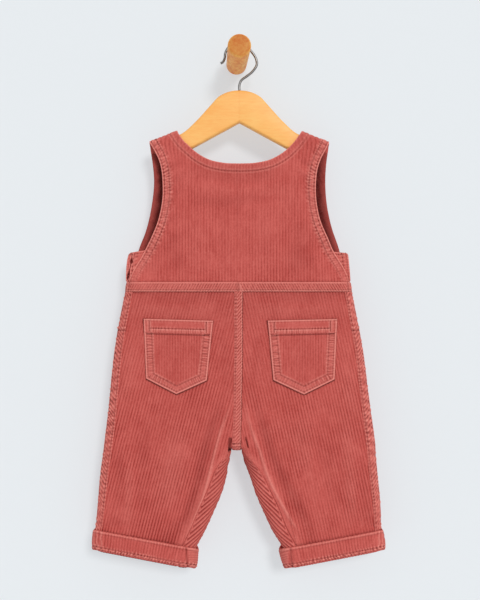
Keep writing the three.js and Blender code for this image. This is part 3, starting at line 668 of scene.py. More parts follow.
def bodiceColumns(half):
    # straight columns along the wales in the middle, and shares of what is left outside them
    middle, straps = bodice["middle"], bodice["straps"]
    inner = wavesAligned(-middle, middle, bodice["pitch"], half["phases"])
    inner = [x for x in inner if min(abs(x - at) for at in straps) > 0.2]
    inner = np.sort([-middle, middle, *inner, *straps])
    shares = np.linspace(0, 1, half["edgeColumns"] + 1)[1:]
    return inner, shares, [len(shares) + int(np.argmin(abs(inner - at))) for at in straps]


def bodicePlaces(face, drop, inner, shares):
    # x of each column at its drop: straight lines in the middle, spread to the edges outside
    left, right = bodiceEdges[face](drop)[:2]
    count, middle = len(shares), bodice["middle"]
    x = np.empty(drop.shape)
    x[:, :count] = lerp(-middle, left[:, :count], shares[::-1])
    x[:, count:-count] = inner
    x[:, -count:] = lerp(middle, right[:, -count:], shares)
    return x


def bodiceTop(face, inner, shares, start, tries, topAt):
    # each column's share of the half width and its top, found by turns, since the edges lean
    drop = np.full((1, len(inner) + 2 * len(shares)), start)
    for _ in range(tries):
        x = bodicePlaces(face, drop, inner, shares)
        left, right = bodiceEdges[face](drop)[:2]
        share = abs((x - left) / (right - left) * 2 - 1)
        drop = topAt(share)
    return share[0], drop[0]


def neckEdge(face):
    # the neck's edge as a line of (x, drop)
    share = np.linspace(-bodice["strapShare"], bodice["strapShare"], 81)
    drop = neckline(abs(share))[bothFaces.index(face)]
    left, right = bodiceEdges[face](drop)[:2]
    return np.stack([lerp(left, right, (share + 1) / 2), drop], axis=-1)


def armEdge(face, side, ends=bodice["armholes"]):
    drops = np.linspace(*ends, 60)
    return np.stack([bodiceEdges[face](drops)[bothSides.index(side)], drops], axis=-1)


def fromArmholes(face, x, drop):
    # distance from the nearer armhole's edge, and how far along it
    (arm, along), (other, alongOther) = (distanceTo(armEdge(face, side), x, drop) for side in bothSides)
    left, right = bodiceEdges[face](drop)[:2]
    nearest = np.minimum(np.minimum(arm, other), np.minimum(x - left, right - x))
    return nearest, np.where(other < arm, alongOther + 2, along)


def bandWork(arm, alongArm, neck, alongNeck, quiet):
    # turned and stitched edges: relief, wear with painted highlight, and painted shade, fading where the
    # sides lap
    band, (first, second) = bodice["band"], bodice["stitches"]
    armBand, neckBand = fade(arm, band - 0.4, band + 1.2), fade(neck, band - 0.5, band + 0.5)
    work = stitchRow(arm, alongArm, first, 1.0, 4.2) + stitchRow(arm, alongArm, second, 2.4, 3.4)
    work += puckers(arm, alongArm, first, second, 0.4, 3.1, 0.35)
    work += 0.7 * puckers(arm, alongArm, 8.6, 13, 5.0, 4.6, 0.5)
    work *= (1 - 0.6 * quiet) * np.array([1.35, 1.7, 1.5])[:, None, None]
    # painted shade in the groove under the neck band, and wear with painted highlight on its ridges and the
    # rolled edges
    groove = bump(neck - band, 0.55) * (0.5 + 0.5 * window(alongNeck, (6, 34), (140, 168)))
    ridges = bump(neck - band - 1.7, 0.8) + 0.8 * bump(neck - band + 1.7, 0.8)
    fine = unevenWave(alongNeck, 3.4, 4.0)
    edge = np.minimum(arm, neck)
    work[0] += 0.45 * np.maximum(armBand, neckBand) - 0.8 * groove + 0.3 * ridges
    work[0] += 0.16 * fine * neckBand - 0.9 * roll(edge, 1.5)
    work[1] += 0.62 * fade(edge, 0.6, 1.8) + 0.12 * armBand + 0.32 * ridges
    work[1] += (0.05 + 0.12 * clamp(fine)) * neckBand
    work[2] += 0.4 * groove * (1 - 0.5 * fine) + 0.12 * clamp(-fine) * neckBand * step(neck, 1, 3)
    return work


def backBodiceGrid(inner, shares):
    # each column runs from its strap's front end over the crest, or from the neck, down to the waist
    share, top = bodiceTop("back", inner, shares, 98.0, 8, lambda share: np.where(
        share < bodice["strapShare"], neckline(share)[0], strapTop(share)))
    crest, fold, foldRows = strapTop(share), bodice["fold"], bodice["foldRows"]
    quarter = fold * math.pi / 2
    startAngle = np.arccos(clamp(1 - (top - crest) / fold, 0, 1))
    arcLong = quarter - fold * startAngle
    flatStart = np.maximum(crest + fold, top)
    long = arcLong + bodice["bottom"] - flatStart
    run = (np.linspace(0, 1, bodice["rows"] + 1) ** 1.06)[:, None] * long
    angle = np.minimum(startAngle + run / fold, math.pi / 2)
    onArc = run < arcLong
    drop = np.where(onArc, crest + fold * (1 - np.cos(angle)), flatStart + run - arcLong)
    x = bodicePlaces("back", drop, inner, shares)
    flat = bodiceHalf("back", x, drop)
    start = np.where(crest + fold > top - 0.01, fold, flat)
    flat = lerp(start, flat, step(drop, flatStart, flatStart + 14))
    body = np.stack([x, hangY - np.where(onArc, fold * np.sin(angle), flat), -drop], axis=-1)
    over = np.linspace(1, 0, foldRows + 1)[:-1, None] * (quarter + bodice["strapFront"] - fold)
    turn = np.minimum(over / fold, math.pi / 2)
    frontDrop = crest + fold * (1 - np.cos(turn)) + np.maximum(over - quarter, 0)
    behind, ahead = (bodicePlaces(face, frontDrop, inner, shares) for face in bothFaces)
    frontX = lerp(behind, ahead, step(over, 0, 5))
    front = np.stack([frontX, hangY + fold * np.sin(turn) + 0 * frontX, -frontDrop], axis=-1)
    return np.concatenate([front, body]), crest


def makeBackBodice():
    inner, shares, (leftStrap, rightStrap) = bodiceColumns(bodice)
    points, crest = backBodiceGrid(inner, shares)
    x, y, drop = points[..., 0], points[..., 1], -points[..., 2]
    foldRows = bodice["foldRows"]
    normals = gridNormals(points, np.array([0, -1, 0.4]))
    upAndOut = np.stack([0 * x, y - hangY, 0 * x + 0.8], axis=-1)
    normals[:foldRows] = gridNormals(points, upAndOut)[:foldRows]

    arm, alongArm = fromArmholes("back", x, drop)
    neck, alongNeck = distanceTo(neckEdge("back"), x, drop)
    onFront = (np.arange(len(points)) < foldRows)[:, None]
    fromStraps = [abs(x - at) for at in bodice["straps"]]
    neck = np.where(onFront, np.minimum(*fromStraps), neck)
    relief, wear, dark = bandWork(arm, alongArm, neck, alongNeck, step(drop, *bodice["quiet"]))
    soft = folds(backFolds, x, drop) * window(drop, *bodice["foldSpan"]) + 0.45 * unevenness(x, drop)
    soft = np.where(y > hangY, 0, soft)
    # painted highlight on the strap's crest, which faces up, and painted shade in the creases' troughs and
    # along the foot above the waistband
    foot = fade(bodice["bottom"] - drop, 0, 3)
    onCrest = fade(drop - crest, 0, 5)
    relief += soft + 0.9 * onCrest - bodice["set"] - 0.5 * foot
    wear += 0.25 * onCrest + 0.06 * clamp(soft)
    dark += 0.10 * clamp(-soft) + 0.5 * foot * (0.75 + 0.25 * unevenWave(x, 6, 1.0))
    # near the shoulders the wales lean with the armhole's edge
    left, right = bodiceEdges["back"](np.minimum(drop, 150))[:2]
    lean = np.where(x < 0, left + 92.9, right - 91) * 0.6 * fade(arm, 2, 42)
    quiet = 1 - 0.45 * fade(arm, 8, 11) - 0.3 * fade(neck, 8, 10)
    made = clothPiece(
        "back_of_bodice", bodice, points, normals, (relief, wear, dark), wales=x - lean,
        raised=quiet * (0.9 + 0.6 * fade(drop, 108, 150) + 0.4 * step(drop, 150, 250)),
        rowStops=[foldRows], columnStops=[leftStrap, rightStrap],
        isCloth=lambda row, column: (row > foldRows) | (column < leftStrap) | (column > rightStrap))
    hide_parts("back_bodice")
    return made


bodiceFront = {
    "rows": 112, "edgeColumns": 52, "phases": (0, 0.25, 0.5, 0.75),
    "under": 14.3, "shoulder": (0.66, 0.70),  # its straps end this far under the crest, from these shares on
}


def makeFrontBodice():
    def topAt(share):
        onNeck = np.maximum(neckline(share)[1], strapTop(bodice["strapShare"]) + bodiceFront["under"])
        return lerp(onNeck, strapTop(share) + bodiceFront["under"], step(share, *bodiceFront["shoulder"]))

    inner, shares, _ = bodiceColumns(bodiceFront)
    top = bodiceTop("front", inner, shares, 110.0, 6, topAt)[1]
    drop = lerp(top, bodice["bottom"], np.linspace(0, 1, bodiceFront["rows"] + 1)[:, None])
    x = bodicePlaces("front", drop, inner, shares)
    points = np.stack([x, hangY + bodiceHalf("front", x, drop), -drop], axis=-1)
    normals = gridNormals(points, np.array([0, 1, 0.0]))
    arm, alongArm = fromArmholes("front", x, drop)
    neck, alongNeck = distanceTo(neckEdge("front"), x, drop)
    work = bandWork(arm, alongArm, neck, alongNeck, step(drop, *bodice["quiet"]))
    work[0] += folds(frontFolds, x, drop) * fade(drop, *bodice["foldSpan"][1])
    work[0] += 0.35 * unevenness(x, drop, 2.0) - bodice["set"]
    mottle = 1 + 0.3 * unevenWave(drop, 9, 1.0) * unevenWave(x, 11, 2.0)
    # painted shade on the inner face near the armholes, where it is seen through them
    made = clothPiece(
        "front_of_bodice", bodice, points, normals, work, wales=x + 1, raised=1 - 0.4 * fade(arm, 8, 11),
        innerShade=(0.42 + 0.55 * step(arm, 1.5, 9)) * fade(arm, 24, 50) * mottle)
    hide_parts("front_bodice")
    return made


backBodice, frontBodice = makeBackBodice(), makeFrontBodice()
print("bodice made")


legs = {
    "pitch": 3.52, "waleHeight": 0.72, "contrast": 0.86, "thickness": 1.7, "rows": 92,
    "top": 283.0, "cuffTop": 570.5, "foot": 592.0, "seed": {"left": 1.0, "right": 2.3},
    "lean": {"back": {"left": 14.5, "right": 12.5}, "front": {"left": 19.0, "right": 12.0}},
    "least": 0.15, "sideRound": 14, "inseamRound": 12, "set": 0.5,
    "stands": (0.68, 1.1), "standsFrom": (300, 470),  # how high the wales stand, and the drops between
}

legRows = [
    # outer drop; outer and inner x of the left leg, then of the right; inner drop, half depth,
    # how closed, share wrapped from the front
    (283, -136.8, -1.7, 133.4, -1.4, 283, 13.4, 0, 0), (304, -141, -1.8, 137.4, -1.5, 304, 13.9, 0, 0),
    (322, -144.6, -1.85, 141, -1.55, 322, 14.2, 0, 0), (340, -147.6, -1.95, 144.4, -1.65, 340, 14.5, 0, 0),
    (358, -150.2, -2.05, 147.4, -1.75, 358, 14.6, 0, 0), (376, -152.4, -2.2, 149.8, -1.9, 376, 14.6, 0, 0),
    (394, -154.2, -2.5, 151.9, -2.2, 394.5, 14.6, 0, 0), (410, -155.7, -2.8, 154, -2.5, 411, 14.5, 0, 0),
    (425, -157.2, -3.1, 156, -2.8, 427, 14.4, 0, 0), (442, -159.2, -3.6, 158.4, -3.3, 446.5, 14.2, 0, 0),
    (456, -161, -4, 160.4, -3.6, 461, 14, 0, 0), (463, -161.8, -5.4, 161.2, -2.2, 468, 14, 0.36, 0),
    (467, -162.3, -8.2, 161.6, 0.4, 471.8, 14, 0.76, 0),
    (469.5, -162.6, -9.9, 161.8, 1.5, 474.4, 14, 0.95, 0),
    (472.5, -163, -10.9, 162, 2.2, 477.8, 14, 1, 0.014),
    (477, -163.6, -12.2, 162.2, 3.9, 483, 13.9, 1, 0.035),
    (484, -164.4, -15, 162.7, 7.4, 491, 13.8, 1, 0.068), (496, -166.2, -17, 163.7, 12.6, 505, 13.6, 1, 0.1),
    (512, -167.8, -22.2, 165.3, 19, 524, 13.4, 1, 0.12),
    (530, -169.3, -31, 167.2, 27.9, 545, 13.1, 1, 0.132), (550, -171, -42, 168.3, 38.9, 569, 12.8, 1, 0.13),
    (570.5, -173, -54.2, 168.8, 53.1, 592.5, 12.5, 1, 0.127),
    (592, -174.6, -60.4, 171.3, 58, 614, 12.4, 1, 0.125),
]
legTable = {
    side: smoothTable([(row[0], *row[k:k + 2], *row[5:]) for row in legRows])
    for side, k in (("left", 1), ("right", 3))}

legFolds = {
    # soft creases of each leg's back; the first two run beside the inseam
    "left": [
        (1.8, 2.3, [(-7.4, 410), (-21, 444), (-27.7, 466), (-34.4, 493), (-41.6, 521), (-52.2, 549),
                    (-69, 584)]),
        (-1.7, 7, [(-14, 402), (-34, 444), (-43, 478), (-51, 514), (-64, 552), (-84, 588)]),
        (0.9, 14, [(-70, 430), (-78, 480), (-86, 540)]), (-1.1, 10, [(-112, 440), (-118, 500), (-122, 560)]),
        (-1.3, 6, [(-148, 470), (-144, 510), (-148, 560)]), (0.9, 9, [(-130, 480), (-132, 530), (-136, 570)]),
        (-1.0, 6, [(-128, 290), (-80, 294), (-20, 290)]), (0.7, 8, [(-120, 304), (-70, 307), (-24, 304)]),
        (-0.9, 8, [(-26, 330), (-20, 370), (-16, 400)]), (0.6, 10, [(-130, 340), (-134, 380), (-136, 420)]),
        (-1.6, 6, [(-96, 590), (-86, 576), (-72, 560)]), (-1.6, 5, [(-158, 566), (-150, 560), (-140, 566)]),
    ],
    "right": [
        (1.8, 2.3, [(6.3, 418), (13, 445), (22.6, 470), (35, 507), (48.4, 534), (61, 556), (80, 582)]),
        (-1.7, 7, [(12, 406), (27, 445), (38, 478), (53, 510), (71, 544), (94, 584)]),
        (0.9, 14, [(70, 430), (84, 490), (102, 540)]), (-1.1, 11, [(94, 450), (100, 500), (114, 550)]),
        (-1.2, 7, [(146, 500), (148, 530), (152, 560)]), (0.9, 9, [(126, 440), (130, 500), (138, 560)]),
        (-1.0, 6, [(20, 290), (80, 294), (126, 290)]), (0.7, 8, [(24, 304), (70, 307), (118, 304)]),
        (-0.9, 8, [(20, 330), (16, 370), (12, 400)]), (0.6, 10, [(126, 340), (130, 380), (134, 420)]),
        (-1.6, 6, [(88, 588), (80, 576), (70, 562)]), (-1.6, 5, [(160, 562), (150, 556), (140, 564)]),
    ],
}
legGaps = {
    # where each leg's rolled edge stands away from the bridge of cloth between the legs
    "left": {"line": [(-11.6, 459.5), (-12.2, 465), (-12.0, 470), (-10.8, 475)], "half": 2.3},
    "right": {"line": [(6.4, 457.5), (8.0, 463), (9.4, 469)], "half": 0.9},
}


def legPlace(side, turn, outerDrop):
    # around a section, turn goes from 0 at the side seam over the back to 1, and over the front to 2
    outerX, innerX, innerDrop, half, closed, _ = legTable[side](outerDrop)
    closed = clamp(closed)
    share = np.where(turn <= 1, turn, 2 - turn)
    width = np.hypot(innerX - outerX, innerDrop - outerDrop)
    depth = half * rounded(share * width, legs["sideRound"])
    depth *= lerp(1, rounded((1 - share) * width, legs["inseamRound"]), closed)
    depth = np.maximum(depth, legs["least"] * np.maximum(1 - closed, share <= 0))
    y = hangY + np.where(turn <= 1, -1, 1) * depth
    return np.stack([lerp(outerX, innerX, share), y, -lerp(outerDrop, innerDrop, share)], axis=-1)


def legNormal(side, turn, outerDrop):
    closed = legTable[side](outerDrop)[4] > 0.97
    first = np.where(closed | (turn <= 1), 0, 1 + 1e-9)
    last = np.where(closed | (turn > 1), 2, 1.0)
    ends = [legPlace(side, clamp(turn + way, first, last), outerDrop) for way in (-0.008, 0.008)]
    levels = [legPlace(side, turn, clamp(outerDrop + way, legs["top"], legs["foot"])) for way in (-2, 2)]
    return unit(np.cross(levels[1] - levels[0], ends[1] - ends[0])) * (1 if side == "left" else -1)


def legPanelColumns(side, face):
    # columns along the wales: for each, how far along the panel it is at each drop
    lean = math.radians(legs["lean"][face][side])
    drops = np.linspace(legs["top"], legs["foot"], 500)
    closed, wrap = (clamp(value) for value in legTable[side](drops)[4:6])
    across = (1 - np.cos(np.linspace(0, math.pi, 260))) / 2
    if face == "back":
        inner = 1 - wrap - 0.002 * closed
        turns = inner[:, None] * across
    else:
        inner = np.where((closed > 0.97) & (wrap > 0.004), 1.002 - wrap, 1 + 1e-9)
        turns = lerp(2.0, inner[:, None], across)
    places = legPlace(side, turns, drops[:, None] + 0 * turns)
    run = np.cumsum(np.linalg.norm(np.diff(places, axis=1), axis=-1), axis=1)
    run = np.concatenate([np.zeros((len(drops), 1)), run], axis=1)
    middle = len(across) // 2
    start = places[:, middle, 0] * (1 if side == "left" else -1) - run[:, middle]
    return drops, across, inner, (run + start[:, None]) * math.cos(lean) - places[..., 2] * math.sin(lean)


def waleRuns(drops, inside):
    # where each wale starts and ends on its panel
    gap, least = drops[1] - drops[0], 0.4
    ends = []
    for depth in inside.T:
        changes = np.diff(np.concatenate([[0], (depth >= 0).astype(int), [0]]))
        runs = np.flatnonzero(changes).reshape(-1, 2)
        if not len(runs):
            low = high = drops[int(np.argmax(depth))]
        else:
            a, b = runs[np.argmax(runs[:, 1] - runs[:, 0])]
            low, high = drops[a], drops[b - 1]
            if a > 0:
                low -= gap * depth[a] / max(depth[a] - depth[a - 1], 1e-9)
            if b < len(drops):
                high += gap * depth[b - 1] / max(depth[b - 1] - depth[b], 1e-9)
        if high - low < least:
            middle = clamp((low + high) / 2, drops[0] + least / 2, drops[-1] - least / 2)
            low, high = middle - least / 2, middle + least / 2
        ends.append((low, high))
    return np.array(ends).T


def legPanelGrid(side, face):
    # each column follows a wale: its place across them, its turn, its drop at the side seam,
    # and the turn at which the panel ends
    drops, across, inner, q = legPanelColumns(side, face)
    wales = [q.min() + 0.1, *wavesAligned(q.min(), q.max(), legs["pitch"]), q.max() - 0.1]
    place = np.array([np.interp(wales, line, across) for line in q])
    starts, ends = waleRuns(drops, np.minimum(wales - q[:, :1], q[:, -1:] - wales))
    outerDrop = lerp(starts, ends, np.linspace(0, 1, legs["rows"] + 1)[:, None])
    outerDrop = clamp(outerDrop, legs["top"], legs["foot"])
    share = np.stack([np.interp(outerDrop[:, k], drops, place[:, k]) for k in range(len(wales))], axis=-1)
    innerAt = np.interp(outerDrop, drops, inner)
    turn = share * innerAt if face == "back" else lerp(2.0, innerAt, share)
    return wales, turn, outerDrop, innerAt


def makeLegPanel(side, face):
    wales, turn, outerDrop, innerAt = legPanelGrid(side, face)
    points, normals = legPlace(side, turn, outerDrop), legNormal(side, turn, outerDrop)
    x, drop = points[..., 0], -points[..., 2]
    outerX, innerX, _, _, closed, _ = legTable[side](outerDrop)
    apart, width = step(closed, 0.5, 1.0), np.abs(innerX - outerX)
    fromInseam, fromOuter = np.abs(turn - innerAt) * width, np.where(turn <= 1, turn, 2 - turn) * width
    isBack, creases, gap = face == "back", legFolds[side], legGaps[side]
    seed = legs["seed"][side] + (0 if isBack else 4)
    soft = folds(creases, x, drop) if isBack else -0.6 * folds(creases, x, drop + 6) * (turn > 1)
    soft = soft * step(fromOuter, 3, 12) * step(drop, 284, 290)
    soft += 0.35 * unevenness(x, drop, seed) * step(fromOuter, 4, 20)
    ridge, trough = (folds([line], x, drop) / line[0] * isBack for line in creases[:2])
    away = distanceTo(gap["line"], x, drop)[0]
    notch = fade(away, gap["half"] * 0.2, gap["half"] * 1.3) * isBack
    beside = apart * fade(fromInseam, 3, 13) * isBack
    relief = soft - legs["set"] - 0.6 * apart * roll(fromInseam, 1.8) - 3.0 * notch
    relief += 0.25 * unevenWave(drop, 5.0, seed) * bump(fromOuter - 12, 3)
    # painted highlight on the crease beside the inseam and the creases' tops, wear with painted highlight
    # beside the inseam; painted shade in the notch, the trough, the creases' hollows, under the waistband and
    # above the cuff, and a little darker towards the top
    wear = 0.10 * clamp(soft) + 0.34 * ridge ** 2 + 0.12 * beside
    wear += 0.22 * apart * bump(fromInseam, 1.6) * (not isBack)
    dark = 0.7 * notch + 0.14 * trough ** 2 + 0.06 * clamp(-soft) + 0.3 * bump(drop - 284.6, 1.6)
    dark += 0.75 * step(outerDrop, legs["cuffTop"] - 5.5, legs["cuffTop"]) ** 2
    dark += 0.07 * fade(drop, 300, 350)
    raised = lerp(*legs["stands"], step(drop, *legs["standsFrom"])) * (1 - 0.75 * beside)
    raised *= (1.0 if side == "left" else 0.88) if isBack else 1.3
    made = clothPiece(f"leg_{side}_{face}", legs, points, normals, (relief, wear, dark), wales, raised)
    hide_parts(f"leg_{face}_{side}")


for side in bothSides:
    for face in bothFaces:
        makeLegPanel(side, face)
print("legs made")


waistband = {
    "pitch": 3.2, "waleHeight": 0.8, "contrast": 1.5, "slant": 0.5, "thickness": 2.4, "rows": 24,
    "spacing": 0.62, "top": 272.0, "foot": 284.3, "ends": (-138.5, 135.1), "half": 14.6, "round": 15.1,
    "taper": 0.12, "taperFrom": 285.4,  # its ends lean in upwards
    "topRow": 2.6, "footRow": 2.3,  # how far its rows of stitches are from its edges
}


def evenPlaces(places, spacing):
    # how far along a line of places evenly spaced ones are, by share
    run = runAlong(places)
    count = max(6, round(run[-1] / spacing))
    return np.interp(np.linspace(0, run[-1], count + 1), run, np.linspace(0, 1, len(places))), run[-1]


def waistPlace(face, share, drop):
    taper = (waistband["taperFrom"] - drop) * waistband["taper"]
    left, right = waistband["ends"][0] + taper, waistband["ends"][1] - taper
    x = lerp(left, right, share)
    depth = waistband["half"] * rounded(np.minimum(x - left, right - x), waistband["round"])
    depth = np.maximum(depth, legs["least"])
    return np.stack([x, hangY + outwards[face] * depth, -drop + 0 * x], axis=-1)


def makeWaistband(face):
    fine = (1 - np.cos(np.linspace(0, math.pi, 900))) / 2
    at, long = evenPlaces(waistPlace(face, fine, 279.0 + 0 * fine), waistband["spacing"])
    shares = np.interp(at, np.linspace(0, 1, len(fine)), fine)
    top, foot = waistband["top"], waistband["foot"]
    drop = lerp(top, foot, np.linspace(0, 1, waistband["rows"] + 1)[:, None]) + 0 * shares
    points = waistPlace(face, shares + 0 * drop, drop)
    normals = gridNormals(points, np.array([0, outwards[face], 0]))
    normals = unit(normals * [1, 1, 0])
    run = np.linspace(0, long, len(shares)) + 0 * drop
    fromTop, fromFoot, x = drop - top, foot - drop, points[..., 0]
    # a small corner of cloth folded over where the halves meet, and the side seams carried on
    corner = clamp(1 - np.abs(x - lerp(-1.0, 2.4, fromTop / 12)) / (0.3 + 0.26 * fromTop))
    corner *= step(fromTop, 1.4, 3)
    patch = window(x, (-5.2, -4.2), (-1.4, 0.2))
    ends = ((run, 5.5, 1.0), (run, 12.0, 2.0), (long - run, 5.5, 3.0), (long - run, 12.0, 4.0))
    sides = sum(stitchRow(away, drop, at, seed, 3.6) for away, at, seed in ends)
    atSides = fade(run, 9, 13) + fade(long - run, 9, 13)
    work = 0.5 * stitchRow(fromFoot, run, waistband["footRow"], 0.6, 3.4)
    work += 0.35 * stitchRow(fromTop, run, waistband["topRow"], 1.6, 3.4) + 1.6 * sides
    work += 1.5 * puckers(fromTop, run, 2.5, 11, 3.0, 5.2, 0.4) * (0.25 + 0.6 * atSides)
    work[0] += 0.25 * unevenness(x, drop) - 1.3 * roll(fromTop, 1.8) - 1.2 * roll(fromFoot, 1.6)
    work[0] += 0.6 * corner ** 0.5 - 0.25 * patch - 0.3
    # wear with painted highlight on its rolled edges and the folded corner; painted shade in the line at its
    # top, the shadow line along its foot and the patch beside the corner
    work[1] += 0.20 + 0.35 * bump(fromTop - 1.3, 0.8) + 0.55 * bump(fromFoot - 1.5, 0.7)
    work[1] += 0.26 * corner ** 0.5 + 0.08 * atSides
    work[2] += 0.2 * fade(fromTop, 0.0, 0.7) + 0.9 * fade(fromFoot, 0.2, 1.1)
    work[2] += 0.14 * patch + 0.35 * bump(fromFoot - 2.6, 0.4)
    slanted = run + waistband["slant"] * np.where(x < 0, 1, -1) * drop
    made = clothPiece(f"waistband_{face}_cloth", waistband, points, normals, work,
                      wales=slanted, raised=step(fromTop, 1.0, 2.5))
    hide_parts(f"waistband_{face}")
    return made


waistbands = {face: makeWaistband(face) for face in bothFaces}


seams = {
    "pitch": 2.75, "waleHeight": 0.8, "roundness": 1.6, "contrast": 0.95, "raise": 1.2, "thickness": 1.1,
    "top": 283.6, "foot": 473.4, "centreHalf": 5.2, "centreRows": (-3.3, 2.9), "bars": (464.4, 467.6),
    "depth": 14.0, "sinks": (405, 425),  # the drops over which it sinks between the legs' folds
    "bridge": -3.85, "bridgeFrom": (440, 456),  # the bridge's middle, and where the seam turns to it
    "ropes": (-2.6, -1.4), "rope": (0.78, 0.63),
}
sideSeam = {
    **seams, "pitch": 3.2, "contrast": 0.5, "from": 284.2, "to": 568, "row": 3.4,
    "notch": {"left": 327, "right": 326}, "seed": {"left": 1.0, "right": 3.0},
}
inseam = {
    "pitch": 4.2, "waleHeight": 1.2, "roundness": 1.7, "contrast": 1.0, "thickness": 1.1,
    "from": 474, "to": 585, "lean": {"left": 30, "right": 26}, "seed": {"left": 0.4, "right": 2.0},
    "shade": {"left": 0.08, "right": 0.3},
}


def makeCentreSeam(face):
    # a felled seam that ends in a bridge of cloth between the legs
    half, foot, (first, second) = seams["centreHalf"], seams["foot"], seams["centreRows"]
    drop = np.linspace(seams["top"], foot, 336)[:, None]
    across = np.linspace(-half, half, 27) + 0 * drop
    meeting = sum(legTable[side](drop)[1] for side in bothSides) / 2
    x = lerp(meeting, seams["bridge"], step(drop, *seams["bridgeFrom"]))
    x = x + across * (1 + 0.05 * step(drop, 440, 460))
    drop = drop + 0 * x
    depth = seams["depth"] * rounded(foot - drop + 0.02, 11) - 0.35 * step(drop, 430, 460)
    points = np.stack([x, hangY + outwards[face] * depth, -drop], axis=-1)
    normals = gridNormals(points, np.array([0, outwards[face], 0.0]))
    low = step(drop, *seams["sinks"])
    work = stitchRow(across, drop, first, 1.0, 3.9) * (1 - 0.4 * low)
    work += 0.5 * stitchRow(across, drop, second, 2.0, 3.3)
    work += 1.2 * puckers(across, drop, first - 1.6, first + 1.3, 4.0, 3.9, 0.4)
    bar = bump(drop - seams["bars"][0], 0.8) + 0.7 * bump(drop - seams["bars"][1], 0.7)
    edge = half - across + 0.25 * unevenWave(drop, 3.3, 5.0)
    slanted = across * seams["rope"][0] + drop * seams["rope"][1]
    onRopes = step(across, *seams["ropes"])
    ropes = clamp(-np.cos(2 * math.pi * slanted / seams["pitch"])) * onRopes
    work[0] += seams["raise"] - roll(edge, 1.6) - 0.9 * roll(across + half, 2.2) - 0.5 * bar
    # wear with painted highlight on its edge's ridge and the slanted ropes; painted shade along its free edge
    # and in the bar tacks
    work[1] += 0.10 + 0.55 * bump(edge - 1.6, 0.6) * (1 - 0.5 * low) + 0.42 * ropes
    work[1] += 0.3 * bump(drop - 466, 0.9)
    work[2] += 0.9 * fade(edge, 0.4, 1.0) + 0.6 * bar * (0.7 + 0.3 * unevenWave(across, 2.4, 1.0))
    wobble = 0.5 * np.sin(drop / 13) + 0.3 * np.sin(drop / 5.1)
    made = clothPiece(
        f"seam_centre_{face}_cloth", seams, points + wobble[..., None] * [0.3, 0, 0], normals, work,
        wales=slanted, raised=onRopes * (1 - 0.5 * step(drop, 462, 465)))
    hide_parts(f"seam_centre_{face}")
    return made


def makeSideSeam(side):
    fine, seed, row = np.linspace(0.004, 0.07, 200), sideSeam["seed"][side], sideSeam["row"]
    at, long = evenPlaces(legPlace(side, fine, 400 + 0 * fine), 0.45)
    turns = np.interp(at, np.linspace(0, 1, len(fine)), fine)
    turn, drop = np.meshgrid(turns, np.linspace(sideSeam["from"], sideSeam["to"], 430))
    points, normals = legPlace(side, turn, drop), legNormal(side, turn, drop)
    across = np.linspace(0, long, turn.shape[1]) + 0 * drop
    work = 1.3 * stitchRow(across, drop, row, seed, 4.6)
    work += 1.3 * stitchRow(across, drop, long - 2.0, seed + 1, 4.4)
    work += 1.9 * puckers(across, drop, 0.6, row - 0.2, seed + 2, 5.2, 0.9)
    work += 1.9 * puckers(across, drop, row + 0.2, long - 2, seed + 3, 4.8, -0.8)
    notch = bump(drop - sideSeam["notch"][side], 1.2)
    streak = bump(across - 2.0 - 0.5 * unevenWave(drop, 11, seed), 0.8)
    streak += 0.8 * bump(across - 5.6 - 0.6 * unevenWave(drop, 14, seed), 1.0)
    work[0] += sideSeam["raise"] - 1.1 * roll(long - across, 2.0) + 0.8 * notch + 0.3 * streak
    # wear with painted highlight on the streaks beside its rows and on the raised notch; painted shade just
    # below the notch and along its middle
    work[1] += 0.14 + 0.5 * streak * (0.7 + 0.3 * unevenWave(drop, 6.5, seed + 4)) + 0.3 * notch
    work[2] += 0.5 * bump(drop - 330, 1.0) + 0.12 * bump(across - 3.6, 0.7)
    made = clothPiece(f"seam_side_{side}_cloth", sideSeam, points, normals, work,
                      wales=across + 0.12 * drop, raised=0.5)
    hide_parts(f"seam_side_{side}")
    return made


def makeInseam(side):
    # the front's cloth drawn round to the back beside the inseam, where its wales cross the leg's
    start, end, seed = inseam["from"], inseam["to"], inseam["seed"][side]
    drop = np.linspace(start, end, 200)[:, None]
    wrap = np.maximum(legTable[side](drop)[5], lerp(0.05, 0.1, step(drop, start, start + 22)))
    turn = lerp(0.998 - wrap, 1.02, np.linspace(0, 1, 44))
    drop = drop + 0 * turn
    points, normals = legPlace(side, turn, drop), legNormal(side, turn, drop)
    across = np.stack([runAlong(row) for row in points])
    along = runAlong(points[:, 8])[:, None] + 0 * across
    lean = math.radians(inseam["lean"][side])
    slanted = np.abs(across - 2.2) * math.cos(lean) + along * math.sin(lean)
    wave = unevenWave(along + 0.5 * across, 3.9, seed)
    onRopes, begun = step(across, 0.6, 2.4), step(drop, start, start + 7)
    ropes = -np.cos(2 * math.pi * slanted / inseam["pitch"]) * onRopes * begun
    relief = 0.8 * rounded(across, 1.6) - 0.9 * roll(across[:, -1:] - across, 4) - 1.2 * (1 - begun)
    relief += 0.3 * wave * bump(across - 1.4, 1.2)
    # wear with painted highlight on the puckers' and ropes' tops, painted shade in their hollows and at its
    # edge
    wear = 0.06 + 0.3 * clamp(wave) * bump(across - 1.2, 1.0) + 0.26 * clamp(ropes)
    dark = 0.3 * fade(across, 0.1, 0.8) * clamp(0.3 - wave) + 0.3 * clamp(-ropes)
    dark += inseam["shade"][side] * fade(drop, 478, 500)
    made = clothPiece(f"inseam_{side}_cloth", inseam, points, normals, (relief, wear, dark),
                      wales=slanted, raised=onRopes * begun)


centreSeams = {face: makeCentreSeam(face) for face in bothFaces}
sideSeams = {side: makeSideSeam(side) for side in bothSides}
for side in bothSides:
    makeInseam(side)
print("seams made")


